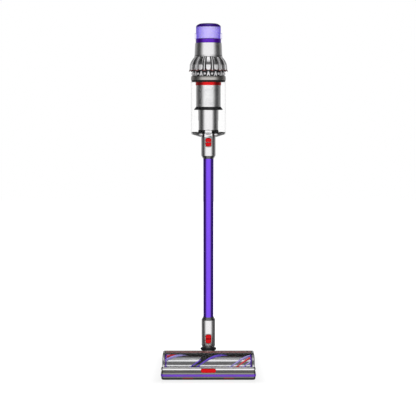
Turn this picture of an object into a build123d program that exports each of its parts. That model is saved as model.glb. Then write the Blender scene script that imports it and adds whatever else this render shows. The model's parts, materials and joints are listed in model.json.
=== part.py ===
from build123d import *

import os
from math import cos, radians, sin

# Cordless stick vacuum, standing upright on its cleaner head. Millimetres, +Z up. The origin is on
# the floor under the wand's axis. The roller window and the release buttons face -Y; the handle and
# the battery are behind, at +Y.

# ---------------------------------------------------------------- driving dimensions
GAP = 0.3                       # between pieces that move past each other
FIT = 0.05                      # radial clearance of a running fit

# Cleaner head
FRONT_Y = -150.0                # face of the suction slider, the foremost point
BUMPER_FRONT = -147.6
BUMPER_BACK = -135.0
BUMPER_HALF = 167.0
BUMPER_TOP = 46.0
STRIPE_PROUD = 1.35
STRIPE_LOW, STRIPE_HIGH = 13.0, 21.6
SHELL_HALF = 156.0              # half width between the side caps
CAP_THICK = 7.0
ROLLER_Y, ROLLER_Z = -95.0, 41.0
BRISTLE_R = 38.0
CORE_R, CORE_BORE = 33.0, 27.0
ROLLER_HALF = 152.5
CHAMBER_R, SHELL_R = 42.2, 44.5
LOCK_R = 39.0
REAR_Y = -34.0                  # back wall of the head
SOLE_LOW, SOLE_HIGH = 2.0, 6.0
WINDOW_BACK = -84.0
STRIP_TWIST = 252.0             # turn of each brush strip from end to end, degrees
SLIDER_WIDE, SLIDER_HIGH = 54.0, 15.6
SLIDER_TRAVEL = 12.0
GATE_X, GATE_WIDE = 71.0, 39.0
GATE_LOW, GATE_HIGH = 3.6, 9.4

# Neck and wheels
PIVOT_Z = 46.0
BARREL_R = 20.0
BARREL_HALF = 27.0
NECK_PIN_R = 6.0
CHEEK_IN, CHEEK_OUT = 27.5, 33.0
WHEEL_Y, WHEEL_R = 30.0, 19.0
AXLE_R = 3.0
SOLE_ROLLER_Y, SOLE_ROLLER_X, SOLE_ROLLER_R = -50.0, 110.0, 6.0
NECK_TOP = 82.0

# Wand
SPIGOT_R, AIRWAY_R = 18.0, 14.5
COLLAR_R = 25.6
TUBE_R, TUBE_WALL = 18.5, 1.6
LOWER_COLLAR = (90.0, 186.0)
UPPER_COLLAR = (785.0, 851.0)
TAPER = 11.0
BUTTON_WIDE = 21.4
BUTTON_FRONT, BUTTON_BACK, BUTTON_FLOOR = 27.0, 22.6, 19.8
LOWER_BUTTON = (101.7, 135.5)
UPPER_BUTTON = (818.0, 849.0)

# Bin and shroud
DOOR_LOW, DOOR_TOP = 851.2, 866.0
DOOR_R = 61.3
BIN_R, BIN_WALL = 62.5, 2.0
BIN_LOW, BIN_HIGH = 866.3, 1046.0
HINGE_Y, HINGE_Z = 68.0, 866.0
COLUMN_LOW, COLUMN_R = 877.0, 35.0
SKIRT_LOW, SKIRT_HIGH = 948.0, 958.9
SHROUD_R, SHROUD_HIGH = 43.75, 1035.0
COLLAR_LOW, COLLAR_TOP = 1046.3, 1067.0

# Cyclones, motor and filter
CYCLONES = 14
PACK_SPLIT = 1090.3             # underside of the cyclone scrolls
MOTOR_LOW, MOTOR_HIGH = 1135.3, 1183.0
RING_HIGH, CAGE_HIGH, DOME_TOP = 1198.0, 1239.0, 1251.0
FILTER_R = 44.0
DISPLAY_R = 22.0

# Handle and battery
BACK_Y = 150.0
GRIP_HALF = 17.0
BATTERY_LOW, BATTERY_HIGH = 905.0, 1011.5
BATTERY_HALF = 37.0
TRIGGER_Y, TRIGGER_Z = 119.0, 1124.0

os.makedirs("parts", exist_ok=True)


# ---------------------------------------------------------------- shared shapes
def keep(part, label):
    """Label a finished piece and write its STEP file."""
    part.label = label
    export_step(part, f"parts/{label}.step")


def turned(outline):
    """A piece turned about the wand's axis from (radius, height) points."""
    with BuildPart() as piece:
        with BuildSketch(Plane.XZ):
            with BuildLine():
                Polyline(*outline, close=True)
            make_face()
        revolve(axis=Axis.Z)
    return piece.part


def tube(outer, inner, low, high):
    """An upright tube about the wand's axis."""
    return turned([(inner, low), (outer, low), (outer, high), (inner, high)])


def cross_rod(radius, x_low, x_high, y, z):
    """A round rod along X."""
    with BuildPart() as rod:
        with BuildSketch(Plane.YZ.offset(x_low)):
            with Locations((y, z)):
                Circle(radius)
        extrude(amount=x_high - x_low)
    return rod.part


def block(x, y, z, soft=0.0):
    """A box between the given (low, high) pairs, its upright edges rounded by soft."""
    with BuildPart() as piece:
        with BuildSketch(Plane.XY.offset(z[0])):
            with Locations(((x[0] + x[1]) / 2, (y[0] + y[1]) / 2)):
                if soft:
                    RectangleRounded(x[1] - x[0], y[1] - y[0], soft)
                else:
                    Rectangle(x[1] - x[0], y[1] - y[0])
        extrude(amount=z[1] - z[0])
    return piece.part


def side_outline(x):
    """The head's outline seen from the side, on the plane at x: a round nose and a sloping back."""
    with BuildSketch(Plane.YZ.offset(x)) as outline:
        with Locations((ROLLER_Y, ROLLER_Z)):
            Circle(SHELL_R)
        with BuildLine():
            Polyline((ROLLER_Y, ROLLER_Z + SHELL_R), (-52, 84), (-39, 77), (REAR_Y, 64),
                     (REAR_Y, SOLE_HIGH), (ROLLER_Y, SOLE_HIGH), close=True)
        make_face()
        with Locations((ROLLER_Y, SOLE_HIGH + GAP - 50)):
            Rectangle(300, 100, mode=Mode.SUBTRACT)
    return outline.sketch


def bumper_plan(z, grow=0.0):
    """The bumper's outline from above at height z, its two front corners rounded."""
    with BuildSketch(Plane.XY.offset(z)) as plan:
        with Locations((0, (BUMPER_FRONT - grow + BUMPER_BACK) / 2)):
            Rectangle(2 * (BUMPER_HALF + grow), BUMPER_BACK - BUMPER_FRONT + grow)
        fillet(plan.vertices().group_by(Axis.Y)[0], 9 + grow)
    return plan.sketch


# ---------------------------------------------------------------- cleaner head: casings
nose_cut = cross_rod(SHELL_R + GAP, -SHELL_HALF - CAP_THICK - GAP, SHELL_HALF + CAP_THICK + GAP,
                     ROLLER_Y, ROLLER_Z)

# The bumper carries the stripe in a groove, the slider's slot, and the two gates low in front.
with BuildPart() as front_bumper:
    extrude(bumper_plan(1.0), amount=BUMPER_TOP - 1)
    fillet(front_bumper.edges().filter_by(Axis.X).sort_by(Axis.Z)[-1], 1.2)
    add(block((-SHELL_HALF, SHELL_HALF), (BUMPER_BACK - 1, -112), (1.0, 12.0)))
    add(nose_cut, mode=Mode.SUBTRACT)
    extrude(bumper_plan(STRIPE_LOW, grow=1), amount=STRIPE_HIGH - STRIPE_LOW, mode=Mode.SUBTRACT)
    extrude(bumper_plan(STRIPE_LOW, grow=-1), amount=STRIPE_HIGH - STRIPE_LOW)
    add(nose_cut, mode=Mode.SUBTRACT)
    for half, depth, height in ((GATE_X + 23, (-144.3, -141.3), (GATE_LOW - 0.3, 40)),
                                (11, (-149, -144), (31, 39))):
        reach = half + SLIDER_TRAVEL
        add(block((-reach, reach), depth, height), mode=Mode.SUBTRACT)
    for gate_x in (-GATE_X, GATE_X):
        gate = (gate_x - GATE_WIDE / 2, gate_x + GATE_WIDE / 2)
        add(block(gate, (-149, -110), (GATE_LOW, GATE_HIGH)), mode=Mode.SUBTRACT)
keep(front_bumper.part, "front_bumper")

with BuildPart() as bumper_stripe:
    extrude(bumper_plan(STRIPE_LOW, grow=STRIPE_PROUD), amount=STRIPE_HIGH - STRIPE_LOW)
    extrude(bumper_plan(STRIPE_LOW, grow=-1), amount=STRIPE_HIGH - STRIPE_LOW, mode=Mode.SUBTRACT)
keep(bumper_stripe.part, "bumper_stripe")

# The red slider runs along the bumper's face; its stem carries the two gate shutters inside.
with BuildPart() as suction_slider:
    with BuildSketch(Plane.XZ.offset(-FRONT_Y)):
        with Locations((0, 35.2)):
            SlotOverall(SLIDER_WIDE, SLIDER_HIGH)
    extrude(amount=FRONT_Y - BUMPER_FRONT + GAP)
    chamfer(suction_slider.edges().group_by(Axis.Y)[0], 0.8)
    add(block((-10, 10), (BUMPER_FRONT - GAP, -144.0), (31.5, 38.5)))
keep(suction_slider.part, "suction_slider")

with BuildPart() as gate_shutters:
    add(block((-GATE_X - 22, GATE_X + 22), (-144.0, -141.6), (10.5, 16)))
    add(block((-8, 8), (-144.0, -141.6), (16, 38)))
    for gate_x in (-GATE_X, GATE_X):
        add(block((gate_x - 21, gate_x + 21), (-144.0, -141.6), (GATE_LOW, 10.5)))
keep(gate_shutters.part, "gate_shutters")

# The clear window wraps over the front of the roller chamber.
with BuildPart() as roller_window:
    with BuildSketch(Plane.YZ.offset(-SHELL_HALF + GAP)):
        with Locations((ROLLER_Y, ROLLER_Z)):
            Circle(SHELL_R)
            Circle(CHAMBER_R, mode=Mode.SUBTRACT)
        with Locations((ROLLER_Y, BUMPER_TOP + 0.4 - 50)):
            Rectangle(200, 100, mode=Mode.SUBTRACT)
        with Locations((WINDOW_BACK + 50 - GAP, ROLLER_Z)):
            Rectangle(100, 200, mode=Mode.SUBTRACT)
    extrude(amount=2 * (SHELL_HALF - GAP))
keep(roller_window.part, "roller_window")

# The sole rollers and their stub axles sit in pockets cut through the sole into the housing.
with BuildPart() as sole_rollers:
    for side in (-1, 1):
        centre = side * SOLE_ROLLER_X
        add(cross_rod(SOLE_ROLLER_R, centre - 7, centre + 7, SOLE_ROLLER_Y, SOLE_ROLLER_R + 0.3))
        add(cross_rod(1.5, centre - 11, centre + 11, SOLE_ROLLER_Y, SOLE_ROLLER_R + 0.3))

with BuildPart() as roller_pockets:
    for side in (-1, 1):
        centre = side * SOLE_ROLLER_X
        add(cross_rod(SOLE_ROLLER_R + 1, centre - 8, centre + 8, SOLE_ROLLER_Y, SOLE_ROLLER_R + 0.3))
        add(cross_rod(1.6, centre - 11.3, centre + 11.3, SOLE_ROLLER_Y, SOLE_ROLLER_R + 0.3))
keep(sole_rollers.part, "sole_rollers")

head_screw_places = [(x, -52.0) for x in (-142, -60, 60, 142)]

# The housing is the rear of the shell: chamber wall, top, back, two electronics bays and the duct.
with BuildPart() as head_housing:
    extrude(side_outline(-SHELL_HALF), amount=2 * SHELL_HALF)
    add(cross_rod(CHAMBER_R, -SHELL_HALF - 1, SHELL_HALF + 1, ROLLER_Y, ROLLER_Z), mode=Mode.SUBTRACT)
    add(block((-SHELL_HALF - 1, SHELL_HALF + 1), (-200, WINDOW_BACK), (0, 100)), mode=Mode.SUBTRACT)
    fillet(head_housing.edges().filter_by(Axis.X).group_by(Axis.Y)[-1].sort_by(Axis.Z)[-1], 4)
    for bay in ((-140, -30), (30, 140)):
        add(block(bay, (-46, -38), (0, 76)), mode=Mode.SUBTRACT)
    with BuildSketch(Plane.XZ.offset(70)):
        with Locations((0, PIVOT_Z - 1)):
            Circle(16)
    extrude(amount=-45, mode=Mode.SUBTRACT)
    add(roller_pockets.part, mode=Mode.SUBTRACT)
    with Locations(*[Location((x, y, SOLE_HIGH + GAP)) for x, y in head_screw_places]):
        Cylinder(1.5, 24, mode=Mode.SUBTRACT)
keep(head_housing.part, "head_housing")

with BuildPart() as sole_plate:
    add(block((-SHELL_HALF + GAP, SHELL_HALF - GAP), (-70, REAR_Y - 1), (SOLE_LOW, SOLE_HIGH), soft=2))
    add(roller_pockets.part, mode=Mode.SUBTRACT)
    with Locations(*[Location((x, y, SOLE_LOW)) for x, y in head_screw_places]):
        Cylinder(3.1, 4, mode=Mode.SUBTRACT)
        Cylinder(1.5, 20, mode=Mode.SUBTRACT)
keep(sole_plate.part, "sole_plate")

with BuildPart() as head_screws:
    with Locations(*[Location((x, y, SOLE_LOW + 1)) for x, y in head_screw_places]):
        Cylinder(3.1, 2)
    with Locations(*[Location((x, y, SOLE_LOW + 2)) for x, y in head_screw_places]):
        Cylinder(1.5, 14, align=(Align.CENTER, Align.CENTER, Align.MIN))
keep(head_screws.part, "head_screws")

keep(block((-135, 135), (-69, -62), (0, SOLE_LOW)), "sole_strip")

# Side caps close the shell. The left one carries the brush motor, the right one is open for the
# brush bar, which slides out through it.
with BuildPart() as side_cap_left:
    extrude(side_outline(-SHELL_HALF - CAP_THICK), amount=CAP_THICK)
    fillet(side_cap_left.faces().sort_by(Axis.X)[0].edges(), 2.5)
keep(side_cap_left.part, "side_cap_left")

with BuildPart() as side_cap_right:
    extrude(side_outline(SHELL_HALF), amount=CAP_THICK)
    fillet(side_cap_right.faces().sort_by(Axis.X)[-1].edges(), 2.5)
    add(cross_rod(LOCK_R + GAP, SHELL_HALF - 1, SHELL_HALF + 9, ROLLER_Y, ROLLER_Z), mode=Mode.SUBTRACT)
keep(side_cap_right.part, "side_cap_right")

# ---------------------------------------------------------------- cleaner head: brush bar
MOTOR_END = -30.0

with BuildPart() as brush_motor:
    add(cross_rod(20, -SHELL_HALF, MOTOR_END, ROLLER_Y, ROLLER_Z))
    add(cross_rod(25.5, -SHELL_HALF, -SHELL_HALF + 3, ROLLER_Y, ROLLER_Z))
    chamfer(brush_motor.edges().sort_by(Axis.X)[-1], 3)
keep(brush_motor.part, "brush_motor")

with BuildPart() as drive_dog:
    with BuildSketch(Plane.YZ.offset(MOTOR_END + GAP)):
        with Locations((ROLLER_Y, ROLLER_Z)):
            RegularPolygon(9, 6, major_radius=False)
    extrude(amount=18)
keep(drive_dog.part, "drive_dog")

# The roller core has a driven wall with a hexagonal hole for the dog, and a bored end wall.
with BuildPart() as brush_core:
    add(cross_rod(CORE_R, -ROLLER_HALF, ROLLER_HALF, ROLLER_Y, ROLLER_Z))
    add(cross_rod(CORE_BORE, -ROLLER_HALF - 1, -24, ROLLER_Y, ROLLER_Z), mode=Mode.SUBTRACT)
    add(cross_rod(CORE_BORE, -14, ROLLER_HALF - 6.5, ROLLER_Y, ROLLER_Z), mode=Mode.SUBTRACT)
    with BuildSketch(Plane.YZ.offset(-25)):
        with Locations((ROLLER_Y, ROLLER_Z)):
            RegularPolygon(9 + GAP, 6, major_radius=False)
    extrude(amount=12, mode=Mode.SUBTRACT)
    add(cross_rod(5, ROLLER_HALF - 8, ROLLER_HALF + 1, ROLLER_Y, ROLLER_Z), mode=Mode.SUBTRACT)
keep(brush_core.part, "brush_core")

with BuildPart() as brush_end_rings:
    for ring_x in (-ROLLER_HALF, ROLLER_HALF - 3.5):
        add(cross_rod(BRISTLE_R, ring_x, ring_x + 3.5, ROLLER_Y, ROLLER_Z))
    add(cross_rod(CORE_R, -ROLLER_HALF - 1, ROLLER_HALF + 1, ROLLER_Y, ROLLER_Z), mode=Mode.SUBTRACT)
keep(brush_end_rings.part, "brush_end_rings")


def helical_strip(half_angle, start_angle, height):
    """A brush strip standing height high on the core, wound along it by STRIP_TWIST."""
    low, high = CORE_R + 0.05, CORE_R + height
    corner = [(radius, start_angle + turn) for radius, turn in
              ((low, -half_angle), (high, -half_angle), (high, half_angle), (low, half_angle))]
    point = [(r * cos(radians(a)), r * sin(radians(a))) for r, a in corner]
    with BuildSketch() as section:
        with BuildLine():
            Line(point[0], point[1])
            RadiusArc(point[1], point[2], -high)
            Line(point[2], point[3])
            RadiusArc(point[3], point[0], low)
        make_face()
    reach = ROLLER_HALF - 4
    upright = Solid.extrude_linear_with_rotation(section.sketch.face(), (0, 0, 0), (0, 0, 2 * reach),
                                                 STRIP_TWIST)
    return Location(Plane((-reach, ROLLER_Y, ROLLER_Z), x_dir=(0, 1, 0), z_dir=(1, 0, 0))) * upright


keep(Compound([helical_strip(13, start, 4.0) for start in (20, 200)]), "carbon_bands")
keep(Compound([helical_strip(3.5, start, 5.0) for start in (65, 110, 155, 245, 290, 335)]),
     "soft_strips")

with BuildPart() as bearing_carrier:
    add(cross_rod(36, ROLLER_HALF + 0.5, SHELL_HALF + 0.5, ROLLER_Y, ROLLER_Z))
    add(cross_rod(5 - FIT, ROLLER_HALF - 4.5, ROLLER_HALF + 0.5, ROLLER_Y, ROLLER_Z))
    add(cross_rod(10, SHELL_HALF + 0.5, SHELL_HALF + 4, ROLLER_Y, ROLLER_Z))
keep(bearing_carrier.part, "bearing_carrier")

# The lock turns on the carrier's boss and has a coin slot across its face.
with BuildPart() as end_cap_lock:
    add(cross_rod(LOCK_R, SHELL_HALF + 0.8, SHELL_HALF + CAP_THICK + 1, ROLLER_Y, ROLLER_Z))
    fillet(end_cap_lock.edges().sort_by(Axis.X)[-1], 2)
    add(cross_rod(10 + FIT, SHELL_HALF, SHELL_HALF + 4.3, ROLLER_Y, ROLLER_Z), mode=Mode.SUBTRACT)
    add(block((SHELL_HALF + CAP_THICK - 1, SHELL_HALF + CAP_THICK + 2), (ROLLER_Y - 14, ROLLER_Y + 14),
              (ROLLER_Z - 1.5, ROLLER_Z + 1.5)), mode=Mode.SUBTRACT)
keep(end_cap_lock.part, "end_cap_lock")

# ---------------------------------------------------------------- neck and wheels
with BuildPart() as neck_cradle:
    add(block((-CHEEK_OUT, CHEEK_OUT), (REAR_Y + 0.1, 40), (8, 13)))
    for side in (-1, 1):
        start = CHEEK_IN if side > 0 else -CHEEK_OUT
        with BuildSketch(Plane.YZ.offset(start)):
            with BuildLine():
                Polyline((REAR_Y + 0.1, 10), (REAR_Y + 0.1, 58), (-8, 60), (8, 60), (15, 52),
                         (15, 28), (40, 25), (40, 10), close=True)
            make_face()
        extrude(amount=CHEEK_OUT - CHEEK_IN)
    add(cross_rod(NECK_PIN_R, -40, 40, 0, PIVOT_Z), mode=Mode.SUBTRACT)
    add(cross_rod(AXLE_R, -40, 40, WHEEL_Y, WHEEL_R), mode=Mode.SUBTRACT)
keep(neck_cradle.part, "neck_cradle")

with BuildPart() as neck_pins:
    add(cross_rod(NECK_PIN_R, -CHEEK_OUT - 1, -BARREL_R, 0, PIVOT_Z))
    add(cross_rod(NECK_PIN_R, BARREL_R, CHEEK_OUT + 1, 0, PIVOT_Z))
keep(neck_pins.part, "neck_pins")

with BuildPart() as wheel_axle:
    add(cross_rod(AXLE_R, -54, 54, WHEEL_Y, WHEEL_R))
    for cap_x in (-54, 50.8):
        add(cross_rod(6, cap_x, cap_x + 3.2, WHEEL_Y, WHEEL_R))
keep(wheel_axle.part, "wheel_axle")

for name, wheel_x in (("rear_wheel_left", -50.3), ("rear_wheel_right", 34.3)):
    with BuildPart() as wheel:
        add(cross_rod(WHEEL_R, wheel_x, wheel_x + 16, WHEEL_Y, WHEEL_R))
        fillet(wheel.edges().filter_by(GeomType.CIRCLE), 2.5)
        add(cross_rod(AXLE_R + FIT, wheel_x - 1, wheel_x + 17, WHEEL_Y, WHEEL_R), mode=Mode.SUBTRACT)
    keep(wheel.part, name)

# The elbow is a barrel between the cheeks with a stalk, black shoulders and a bored swivel seat.
with BuildPart() as neck_elbow:
    add(cross_rod(BARREL_R, -BARREL_HALF, BARREL_HALF, 0, PIVOT_Z))
    add(turned([(0, PIVOT_Z), (20, PIVOT_Z), (20, 69), (29.5, 74.5), (29.5, 78.5), (24.5, NECK_TOP),
                (0, NECK_TOP)]))
    fillet(neck_elbow.edges().filter_by(GeomType.CIRCLE).filter_by_position(Axis.Z, 74, 79), 1.5)
    for side in (-1, 1):
        add(cross_rod(NECK_PIN_R + FIT, side * 28 - (8.3 if side > 0 else 0),
                      side * 28 + (0 if side > 0 else 8.3), 0, PIVOT_Z), mode=Mode.SUBTRACT)
    add(turned([(0, PIVOT_Z), (13, PIVOT_Z), (13, 73.7), (16 + FIT, 73.7), (16 + FIT, 90), (0, 90)]),
        mode=Mode.SUBTRACT)
    with BuildSketch(Plane.XZ.offset(-1)):
        with Locations((0, PIVOT_Z)):
            Circle(13)
    extrude(amount=30, mode=Mode.SUBTRACT)
keep(neck_elbow.part, "neck_elbow")

neck_spigot = turned([(AIRWAY_R - 1, 74), (16, 74), (16, NECK_TOP + GAP), (22, NECK_TOP + GAP),
                      (24.4, 88), (24.4, LOWER_COLLAR[0] - GAP), (SPIGOT_R, LOWER_COLLAR[0] - GAP),
                      (SPIGOT_R, 130), (AIRWAY_R, 130), (AIRWAY_R, 84), (AIRWAY_R - 1, 82)])
keep(neck_spigot, "neck_spigot")


# ---------------------------------------------------------------- wand
def button_slab(heights, wide, y_near, y_far, corner):
    """A rounded slab standing in front of the wand's axis, from y_near back to y_far."""
    with BuildPart() as slab:
        with BuildSketch(Plane.XZ.offset(y_near)):
            with Locations((0, (heights[0] + heights[1]) / 2)):
                RectangleRounded(wide, heights[1] - heights[0], corner)
        extrude(amount=y_far - y_near)
    return slab.part


def release_button(heights, label):
    """A push button whose face follows the collar's curve, with a split line across it."""
    middle = (heights[0] + heights[1]) / 2
    with BuildPart() as button:
        add(button_slab(heights, BUTTON_WIDE, BUTTON_FRONT + 1, BUTTON_BACK, 8))
        add(turned([(0, heights[0] - 1), (BUTTON_FRONT, heights[0] - 1), (BUTTON_FRONT, heights[1] + 1),
                    (0, heights[1] + 1)]), mode=Mode.INTERSECT)
        add(block((-20, 20), (-BUTTON_FRONT - 1, -BUTTON_FRONT + 0.8), (middle - 0.4, middle + 0.4)),
            mode=Mode.SUBTRACT)
    keep(button.part, label)


def collar_pocket(heights):
    """The pocket that a release button moves in."""
    grown = (heights[0] - GAP, heights[1] + GAP)
    return button_slab(grown, BUTTON_WIDE + 2 * GAP, COLLAR_R + 1, BUTTON_FLOOR, 8 + GAP)


low, high = LOWER_COLLAR
with BuildPart() as wand_lower_collar:
    add(turned([(SPIGOT_R + GAP, low), (COLLAR_R - 1, low), (COLLAR_R, low + 1), (COLLAR_R, high),
                (TUBE_R + 0.7, high + TAPER), (TUBE_R, high + TAPER), (TUBE_R, 150),
                (AIRWAY_R + 1, 150), (AIRWAY_R + 1, 131), (SPIGOT_R + GAP, 131)]))
    add(collar_pocket(LOWER_BUTTON), mode=Mode.SUBTRACT)
keep(wand_lower_collar.part, "wand_lower_collar")

low, high = UPPER_COLLAR
with BuildPart() as wand_upper_collar:
    add(turned([(SPIGOT_R + GAP, high), (COLLAR_R - 1, high), (COLLAR_R, high - 1), (COLLAR_R, low),
                (TUBE_R + 0.7, low - TAPER), (TUBE_R, low - TAPER), (TUBE_R, 790),
                (AIRWAY_R + 1, 790), (AIRWAY_R + 1, 810), (SPIGOT_R + GAP, 810)]))
    add(collar_pocket(UPPER_BUTTON), mode=Mode.SUBTRACT)
keep(wand_upper_collar.part, "wand_upper_collar")

keep(tube(TUBE_R, TUBE_R - TUBE_WALL, 150, 790), "wand_tube")
release_button(LOWER_BUTTON, "lower_release_button")
release_button(UPPER_BUTTON, "upper_release_button")

# ---------------------------------------------------------------- bin door and bin
keep(turned([(AIRWAY_R, 812), (SPIGOT_R, 812), (SPIGOT_R, DOOR_LOW), (22, DOOR_LOW), (22, DOOR_TOP),
             (AIRWAY_R, DOOR_TOP)]), "inlet_spigot")

# The door is a dished disc with two hinge lugs at its back edge.
with BuildPart() as bin_door:
    add(turned([(22, DOOR_TOP), (DOOR_R, DOOR_TOP), (DOOR_R, DOOR_TOP - 4), (27, DOOR_LOW + 0.4),
                (22, DOOR_LOW + 0.4)]))
    for lug_x in (-16, 8):
        add(block((lug_x, lug_x + 8), (57, HINGE_Y), (861.5, DOOR_TOP - 0.1)))
        add(cross_rod(4.5, lug_x, lug_x + 8, HINGE_Y, HINGE_Z))
    add(cross_rod(2, -20, 20, HINGE_Y, HINGE_Z), mode=Mode.SUBTRACT)
keep(bin_door.part, "bin_door")

keep(tube(BIN_R - BIN_WALL - GAP, 57.5, DOOR_TOP, DOOR_TOP + 2.4), "door_seal")
keep(cross_rod(2, -17, 17, HINGE_Y, HINGE_Z), "door_hinge_pin")

with BuildPart() as bin_cylinder:
    add(tube(BIN_R, BIN_R - BIN_WALL, BIN_LOW, BIN_HIGH))
    add(cross_rod(4.5, -7.5, 7.5, HINGE_Y, HINGE_Z))
    add(block((-7.5, 7.5), (61.8, HINGE_Y + 4.4), (BIN_LOW + 0.3, 876)))
    add(cross_rod(2 + FIT, -20, 20, HINGE_Y, HINGE_Z), mode=Mode.SUBTRACT)
keep(bin_cylinder.part, "bin_cylinder")

# ---------------------------------------------------------------- shroud and column
with BuildPart() as bin_collar:
    add(turned([(40, COLLAR_LOW), (52, COLLAR_LOW), (52, 1041), (60.2, 1041), (60.2, 1046.1),
                (59.6, COLLAR_LOW), (59.6, 1053), (60.6, 1054.5), (60.6, 1060), (62, 1061.5),
                (62, COLLAR_TOP), (40, COLLAR_TOP)]))
keep(bin_collar.part, "bin_collar")

keep(tube(45.5, 40, SHROUD_HIGH, COLLAR_LOW - 0.1), "shroud_ring")
keep(tube(SHROUD_R, SHROUD_R - 1.6, SKIRT_HIGH + 0.1, SHROUD_HIGH), "shroud")
keep(turned([(COLUMN_R + 0.2, 951), (COLUMN_R + 0.2, 954), (42, SKIRT_HIGH), (44.2, SKIRT_HIGH),
             (51.2, 949.6), (51.2, SKIRT_LOW), (49.6, SKIRT_LOW), (43.2, 955.5), (41.5, 955.5)]),
     "shroud_skirt")

# The column is an outer wall around the inlet duct, tied together by four ribs.
with BuildPart() as dust_column:
    add(tube(COLUMN_R, COLUMN_R - 2, COLUMN_LOW, 960))
    add(tube(AIRWAY_R + 2.5, AIRWAY_R + 0.5, 868, COLLAR_LOW))
    for turn in range(4):
        with Locations(Rotation(0, 0, 45 + 90 * turn)):
            with Locations(((COLUMN_R + AIRWAY_R) / 2, 0, 900)):
                Box(COLUMN_R - AIRWAY_R - 2, 2, 30)
keep(dust_column.part, "dust_column")

keep(turned([(COLUMN_R - 2, 868), (36.6, 868), (36.6, 870.5), (35.6, COLUMN_LOW),
             (COLUMN_R - 2, COLUMN_LOW)]), "column_seal")

# ---------------------------------------------------------------- cyclones
PITCH = 360 / CYCLONES


def wedge(outline, arc):
    """A piece turned through a part of a circle, centred on the plane y = 0."""
    with BuildPart() as piece:
        with BuildSketch(Plane.XZ.rotated((0, 0, -arc / 2))):
            with BuildLine():
                Polyline(*outline, close=True)
            make_face()
        revolve(axis=Axis.Z, revolution_arc=arc)
    return piece.part


scroll = wedge([(40, 1134), (50, 1134), (56.5, 1128), (62, 1117), (66, 1106), (66.6, PACK_SPLIT),
                (40, PACK_SPLIT)], 19)
tip = wedge([(44, PACK_SPLIT), (58, PACK_SPLIT), (58, 1084), (57, COLLAR_TOP), (48, COLLAR_TOP)], 12)

with BuildPart() as cyclone_cones:
    for turn in range(CYCLONES):
        add(Rot(0, 0, PITCH * turn) * scroll)
        add(Rot(0, 0, PITCH * turn) * tip)
keep(cyclone_cones.part, "cyclone_cones")

keep(tube(40, 24, COLLAR_TOP, MOTOR_LOW), "cyclone_core")

# The pointed ring that runs round the pack below the scrolls has two points to each cyclone.
with BuildPart() as cyclone_fin_ring:
    with BuildSketch(Plane.XY.offset(1084.5)):
        with BuildLine():
            Polyline(*[((70 if k % 2 else 64) * cos(radians(k * PITCH / 4)),
                        (70 if k % 2 else 64) * sin(radians(k * PITCH / 4)))
                       for k in range(4 * CYCLONES)], close=True)
        make_face()
        Circle(58.4, mode=Mode.SUBTRACT)
    extrude(amount=5.5)
keep(cyclone_fin_ring.part, "cyclone_fin_ring")

# ---------------------------------------------------------------- motor
with BuildPart() as motor_housing:
    add(turned([(0, MOTOR_LOW), (50.2, MOTOR_LOW), (50.2, 1138), (49, 1140), (47, MOTOR_HIGH),
                (0, MOTOR_HIGH)]))
    add(turned([(0, 1138.5), (46, 1138.5), (44.4, 1180.5), (0, 1180.5)]), mode=Mode.SUBTRACT)
    with Locations((0, 0, MOTOR_HIGH)):
        with PolarLocations(27, 6):
            Cylinder(7, 20, mode=Mode.SUBTRACT)
keep(motor_housing.part, "motor_housing")

motor_can = turned([(0, 1138.5), (32, 1138.5), (32, 1171), (3 + FIT, 1171), (3 + FIT, 1168.5),
                    (29.5, 1168.5), (29.5, 1141), (0, 1141)])
keep(motor_can, "motor_can")

with BuildPart() as impeller:
    add(turned([(0, 1142), (3, 1142), (3, 1172), (24, 1172), (24, 1173.5), (8, 1176), (5, 1179.5),
                (0, 1179.5)]))
    add(turned([(3, 1145), (20, 1145), (20, 1163), (3, 1163)]))
    with Locations((0, 0, 1175.5)):
        with PolarLocations(15, 9):
            Box(17, 1.2, 6)
keep(impeller.part, "impeller")

# ---------------------------------------------------------------- filter and display
keep(turned([(39, MOTOR_HIGH + GAP), (44.9, MOTOR_HIGH + GAP), (45.1, RING_HIGH - 2),
             (44.2, RING_HIGH), (39, RING_HIGH)]), "filter_ring")
keep(tube(41.5, 29, RING_HIGH + GAP, CAGE_HIGH), "filter_media")

# The cage's two finger bumps stand out at the sides, low on its wall.
with BuildPart() as filter_cage:
    add(tube(FILTER_R, 41.8, RING_HIGH + GAP, CAGE_HIGH))
    for side in (-1, 1):
        with Locations((side * 43, 0, 1207.5)):
            Box(10.6, 22, 18)
    add(tube(41.8, 20, RING_HIGH, CAGE_HIGH), mode=Mode.SUBTRACT)
keep(filter_cage.part, "filter_cage")

with BuildPart() as filter_cap:
    with BuildSketch(Plane.XZ):
        with BuildLine():
            Polyline((24, 1248), (DISPLAY_R + 0.6, 1248), (DISPLAY_R + 0.6, CAGE_HIGH),
                     (FILTER_R, CAGE_HIGH))
            Spline((FILTER_R, CAGE_HIGH), (38, 1247.5), (28, DOME_TOP), tangents=((0, 1), (-1, 0)))
            Line((28, DOME_TOP), (24, 1248))
        make_face()
    revolve(axis=Axis.Z)
keep(filter_cap.part, "filter_cap")

with BuildPart() as display:
    add(turned([(0, MOTOR_HIGH), (9, MOTOR_HIGH), (9, 1236), (DISPLAY_R, 1240), (DISPLAY_R, 1248),
                (0, 1248)]))
    with Locations((0, 14.5, 1248)):
        Cylinder(4.5, 8, mode=Mode.SUBTRACT)
    with Locations((0, -2, 1248)):
        Cylinder(11, 1.6, mode=Mode.SUBTRACT)
keep(display.part, "display")

with BuildPart() as mode_button:
    with Locations((0, 14.5, 1247.1)):
        Cylinder(4.2, 3.4)
    fillet(mode_button.edges().group_by(Axis.Z)[-1], 0.6)
keep(mode_button.part, "mode_button")

# ---------------------------------------------------------------- handle, trigger and battery
battery_screw_places = [(-27.0, 92.0), (27.0, 92.0), (0.0, 140.0)]

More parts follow.
